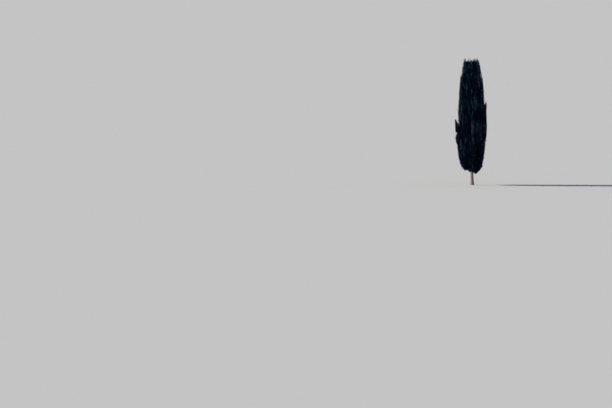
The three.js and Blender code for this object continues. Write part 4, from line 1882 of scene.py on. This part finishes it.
    def shoulder(self, growth: Growth, top: Vec) -> None:
        """Fill the crown's outline above a plume that ends low, with shoots that rise behind its tip.

        Args:
            growth: What the shoots are added to.
            top: The end of the middle shoot.
        """
        plume, draws = growth.plume, growth.draws
        left = quarter_left(plume.outward)
        for place in np.linspace(-1, 1, self.shoulder_shoots):
            aside = left * place * self.shoulder_width
            low = plume.axis.point(draws.uniform(*self.shoulder_start)) + aside
            fall = UP * draws.uniform(*self.shoulder_fall) + plume.outward * self.shoulder_round
            high = top + aside - fall * abs(place)
            course = Course([low, lerp(low, high, 0.5) + plume.outward * self.shoulder_bulge, high])
            places = np.linspace(self.first_shoulder_spray, 1.0, self.tip_sprays)
            batch = self.clothed(growth, course, places, plume.outward, draws.uniform(), self.spray_length)
            growth.dress(course, batch, self.shoot_radius, self.shoot_points)


HELD_BY_ROOTS = {
    "ahead": ("FLOAT_VECTOR", "vector"),
    "facing": ("FLOAT_VECTOR", "vector"),
    "size": ("FLOAT", "value"),
    "form": ("INT", "value"),
    "tint": ("INT", "value"),
}


@dataclass
class Foliage:
    """The foliage as joined pieces: small sprays set on their roots, and the shoots as thin tubes."""

    twig_sides: int = 3

    def __post_init__(self) -> None:
        """Make the colours, the sprays and the two trees of nodes."""
        self.finishes = [LEAF_FINISHES[tint].material() for tint in Tint]
        self.twig_finish = TWIG_BARK.material()
        self.sprays = Sprays().build(self.finishes[0])
        self.spray_tree = self.set_sprays()
        self.twig_tree = self.thicken_shoots()

    def set_sprays(self) -> bpy.types.NodeTree:
        """The nodes that set a spray on each root and deal out the colours.

        Returns:
            The tree. Each point holds which way the spray goes and faces, its size, its form and its tint.
        """
        takes = {
            "Geometry": ("NodeSocketGeometry", None),
            "Sprays": ("NodeSocketCollection", None),
            "Size": ("NodeSocketFloat", 1.0),
            **{tint.name.title(): ("NodeSocketMaterial", None) for tint in Tint},
        }
        sketch = NodeSketch.group("set sprays", "GeometryNodeTree", takes, {"Geometry": "NodeSocketGeometry"})
        read = {name: sketch.held(name, kind) for name, (kind, _) in HELD_BY_ROOTS.items()}
        turn = sketch.add("FunctionNodeAxesToRotation", primary_axis="Z", secondary_axis="X")
        sketch.tree.links.new(read["ahead"], turn.inputs[0])
        sketch.tree.links.new(read["facing"], turn.inputs[1])
        apart = {"Collection": sketch.taken("Sprays"), "Separate Children": True, "Reset Children": True}
        chosen = sketch.add("GeometryNodeCollectionInfo", apart)
        joins = {
            "Points": sketch.taken("Geometry"),
            "Instance": chosen.outputs[0],
            "Pick Instance": True,
            "Instance Index": read["form"],
            "Rotation": turn.outputs[0],
            "Scale": sketch.sum("MULTIPLY", read["size"], sketch.taken("Size")),
        }
        placed = sketch.add("GeometryNodeInstanceOnPoints", joins).outputs[0]
        shape = sketch.add("GeometryNodeRealizeInstances", {"Geometry": placed}).outputs[0]
        for tint in Tint:
            same = {2: read["tint"], 3: int(tint)}
            dealt = sketch.add("FunctionNodeCompare", same, data_type="INT", operation="EQUAL").outputs[0]
            joins = {"Geometry": shape, "Selection": dealt, "Material": sketch.taken(tint.name.title())}
            shape = sketch.add("GeometryNodeSetMaterial", joins).outputs[0]
        sketch.give("Geometry", shape)
        return sketch.tree

    def thicken_shoots(self) -> bpy.types.NodeTree:
        """The nodes that give the shoots their thickness.

        Returns:
            The tree. It takes lines of points that hold their thickness.
        """
        takes = {
            "Geometry": ("NodeSocketGeometry", None),
            "Sides": ("NodeSocketInt", self.twig_sides),
            "Thickness": ("NodeSocketFloat", 1.0),
            "Finish": ("NodeSocketMaterial", None),
        }
        gives = {"Geometry": "NodeSocketGeometry"}
        sketch = NodeSketch.group("thicken shoots", "GeometryNodeTree", takes, gives)
        radius = sketch.sum("MULTIPLY", sketch.held("thickness", "FLOAT"), sketch.taken("Thickness"))
        curve = sketch.add("GeometryNodeMeshToCurve", {0: sketch.taken("Geometry")}).outputs[0]
        curve = sketch.add("GeometryNodeSetCurveRadius", {"Curve": curve, "Radius": radius}).outputs[0]
        joins = {"Resolution": sketch.taken("Sides"), "Radius": 1.0}
        section = sketch.add("GeometryNodeCurvePrimitiveCircle", joins).outputs[0]
        joins = {"Curve": curve, "Profile Curve": section, "Fill Caps": True}
        tube = sketch.add("GeometryNodeCurveToMesh", joins)
        if "Scale" in tube.inputs:
            sketch.tree.links.new(radius, tube.inputs["Scale"])
        sketch.finish(tube.outputs[0], sketch.taken("Finish"))
        return sketch.tree

    def roots_mesh(self, growths: Sequence[Growth]) -> Mesh:
        """The roots of all sprays.

        Args:
            growths: What has grown.

        Returns:
            A mesh of points that hold what the nodes read.
        """
        batches = [batch for growth in growths for batch in growth.batches]
        mesh = bpy.data.meshes.new("roots")
        mesh.vertices.add(sum(len(batch.size) for batch in batches))
        mesh.vertices.foreach_set("co", np.concatenate([batch.root for batch in batches]).ravel())
        for name, (kind, part) in HELD_BY_ROOTS.items():
            values = np.concatenate([getattr(batch, name) for batch in batches])
            mesh.attributes.new(name, kind, "POINT").data.foreach_set(part, values.ravel())
        return mesh

    def lines_mesh(self, growths: Sequence[Growth]) -> Mesh:
        """The shoots.

        Args:
            growths: What has grown.

        Returns:
            A mesh of lines whose points hold the shoots' thickness.
        """
        points, edges, thickness = [], [], []
        for growth in growths:
            for line, radii in growth.shoots:
                first = len(points)
                points.extend(line.tolist())
                thickness.extend(radii.tolist())
                edges.extend((first + step, first + step + 1) for step in range(len(line) - 1))
        mesh = bpy.data.meshes.new("lines")
        mesh.from_pydata(points, edges, [])
        mesh.attributes.new("thickness", "FLOAT", "POINT").data.foreach_set("value", thickness)
        return mesh

    def build(self, name: str, plumes: Sequence[Plume], growths: Sequence[Growth]) -> None:
        """Make the sprays and the twigs of some plumes, each kind as one piece.

        Args:
            name: What the pieces' names start with.
            plumes: The plumes that they stand for.
            growths: What has grown in each of them.
        """
        nodes = [f"plume_{plume.name}" for plume in plumes]
        dealt = {tint.name.title(): self.finishes[tint] for tint in Tint}
        sprays = run_nodes(self.spray_tree, self.roots_mesh(growths), {"Sprays": self.sprays, **dealt})
        place_piece(f"{name}_sprays", sprays, nodes)
        twigs = run_nodes(self.twig_tree, self.lines_mesh(growths), {"Finish": self.twig_finish})
        place_piece(f"{name}_twigs", twigs, nodes)

    def clear_away(self) -> None:
        """Remove the single sprays, which served only as patterns."""
        for spray in list(self.sprays.objects):
            bpy.data.objects.remove(spray)
        bpy.data.collections.remove(self.sprays)


@dataclass(frozen=True)
class Studio:
    """A pale floor and backdrop of one tone, dim light all round, the sun from the left, and the camera."""

    picture: tuple[int, int] = (612, 408)
    foot_pixel: Pair = (472.2, 185.0)
    metres_per_pixel: float = 0.0945
    lens: float = 155.0
    sensor: float = 36.0
    elevation: float = 3.0
    farthest: float = 3000.0
    floor_radius: float = 700.0
    floor_sides: int = 96
    backdrop: Triple = (0.55, 0.55, 0.55)
    ambient: Triple = (0.18, 0.16, 0.27)
    sun: Triple = (1.0, 0.96, 0.78)
    sun_energy: float = 4.9
    sun_angle: float = 8.0
    sun_from: Triple = (-0.94, 0.03, 0.41)

    def floor_colour(self) -> Vec:
        """The floor's colour.

        Returns:
            The colour at which it looks as bright as the backdrop, in this light.
        """
        height = self.sun_from[2] / math.hypot(*self.sun_from)
        falling = np.array(self.ambient) + np.array(self.sun) * self.sun_energy * height / math.pi
        return np.array(self.backdrop) / falling

    def build(self) -> None:
        """Make the floor, the world, the light and the camera."""
        self.floor()
        self.world()
        self.key()
        self.camera()
        view = bpy.context.scene.view_settings
        view.view_transform = "Standard"
        view.look = "None"

    def floor(self) -> None:
        """Lay the floor at ground level."""
        angles = np.linspace(0, FULL_TURN, self.floor_sides, endpoint=False)
        rim = (heading(angles) * self.floor_radius).tolist()
        mesh = bpy.data.meshes.new("floor")
        mesh.from_pydata(rim, [], [list(range(len(rim)))])
        finish = PlainFinish("floor", tuple(self.floor_colour().tolist()), roughness=1.0, shine=0.0)
        mesh.materials.append(finish.material())
        floor = bpy.data.objects.new("floor", mesh)
        bpy.context.scene.collection.objects.link(floor)

    def world(self) -> None:
        """Light the scene dimly from all round, and show a pale backdrop behind the tree."""
        world = bpy.data.worlds.new("studio")
        world.use_nodes = True
        sketch = NodeSketch(world.node_tree)
        light = world.node_tree.nodes["Background"]
        light.inputs["Color"].default_value = (*self.ambient, 1.0)
        backdrop = sketch.add("ShaderNodeBackground", {"Color": (*self.backdrop, 1.0)})
        seen = sketch.add("ShaderNodeLightPath").outputs["Is Camera Ray"]
        both = sketch.add("ShaderNodeMixShader", {0: seen, 1: light.outputs[0], 2: backdrop.outputs[0]})
        sketch.tree.links.new(both.outputs[0], sketch.tree.nodes["World Output"].inputs["Surface"])
        bpy.context.scene.world = world

    def key(self) -> None:
        """Add the sun, low on the left and a little in front of the tree."""
        light = bpy.data.lights.new("sun", "SUN")
        light.energy = self.sun_energy
        light.angle = math.radians(self.sun_angle)
        light.color = self.sun
        lamp = bpy.data.objects.new("sun", light)
        lamp.rotation_mode = "QUATERNION"
        lamp.rotation_quaternion = Vector(self.sun_from).to_track_quat("Z", "Y")
        bpy.context.scene.collection.objects.link(lamp)

    def camera(self) -> None:
        """Place the camera so that the trunk's foot falls on its pixel, at the photograph's scale."""
        width, height = self.picture
        distance = self.metres_per_pixel * width * self.lens / self.sensor
        dip = math.radians(self.elevation)
        stand = np.array([0.0, -distance * math.cos(dip), distance * math.sin(dip)])
        right = (self.foot_pixel[0] - width / 2) / width * self.sensor / self.lens
        up = (height / 2 - self.foot_pixel[1]) / width * self.sensor / self.lens
        ray = math.sqrt(1 + right**2 + up**2)
        pitch = math.asin(-math.sin(dip) * ray / math.hypot(1, up)) - math.atan(up)
        yaw = -math.atan2(right, math.cos(pitch) - up * math.sin(pitch))
        lens = bpy.data.cameras.new("camera")
        lens.lens = self.lens
        lens.sensor_width = self.sensor
        lens.clip_end = self.farthest
        camera = bpy.data.objects.new("camera", lens)
        turn = Matrix.Rotation(-yaw, 4, "Z") @ Matrix.Rotation(math.pi / 2 + pitch, 4, "X")
        camera.matrix_world = Matrix.Translation(stand.tolist()) @ turn
        bpy.context.scene.collection.objects.link(camera)
        bpy.context.scene.camera = camera


@dataclass
class Cypress:
    """The whole tree: its crown's outline, its trunk, and the plumes that share the crown."""

    crown: Crown = field(default_factory=Crown)
    trunk: Trunk = field(default_factory=Trunk)
    habit: Habit = field(default_factory=Habit)
    plumes: list[Plume] = field(default_factory=list)

    def __post_init__(self) -> None:
        """Give every plume its place and its space."""
        for ring in RINGS:
            for number in range(ring.count):
                plume = Plume(ring, number, len(self.plumes), self.crown, self.trunk, self.habit)
                self.plumes.append(plume)
        for plume in self.plumes:
            plume.settle(self.plumes)

    def build(self) -> None:
        """Make the trunk, the boughs and the foliage, ring by ring, each ring in a far and a near half."""
        self.trunk.build()
        Boughs().build(self.plumes)
        foliage, grower = Foliage(), Grower()
        for ring in RINGS:
            around = [plume for plume in self.plumes if plume.ring is ring]
            half = ring.count // 2
            for side, chosen in (("far", around[:half]), ("near", around[half:])):
                foliage.build(f"{ring.name}_{side}", chosen, [grower.grow(plume) for plume in chosen])
        foliage.clear_away()


def main() -> None:
    """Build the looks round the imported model."""
    logging.basicConfig(level=logging.INFO, format="%(message)s")
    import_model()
    Studio().build()
    Cypress().build()


if __name__ == "__main__":
    main()
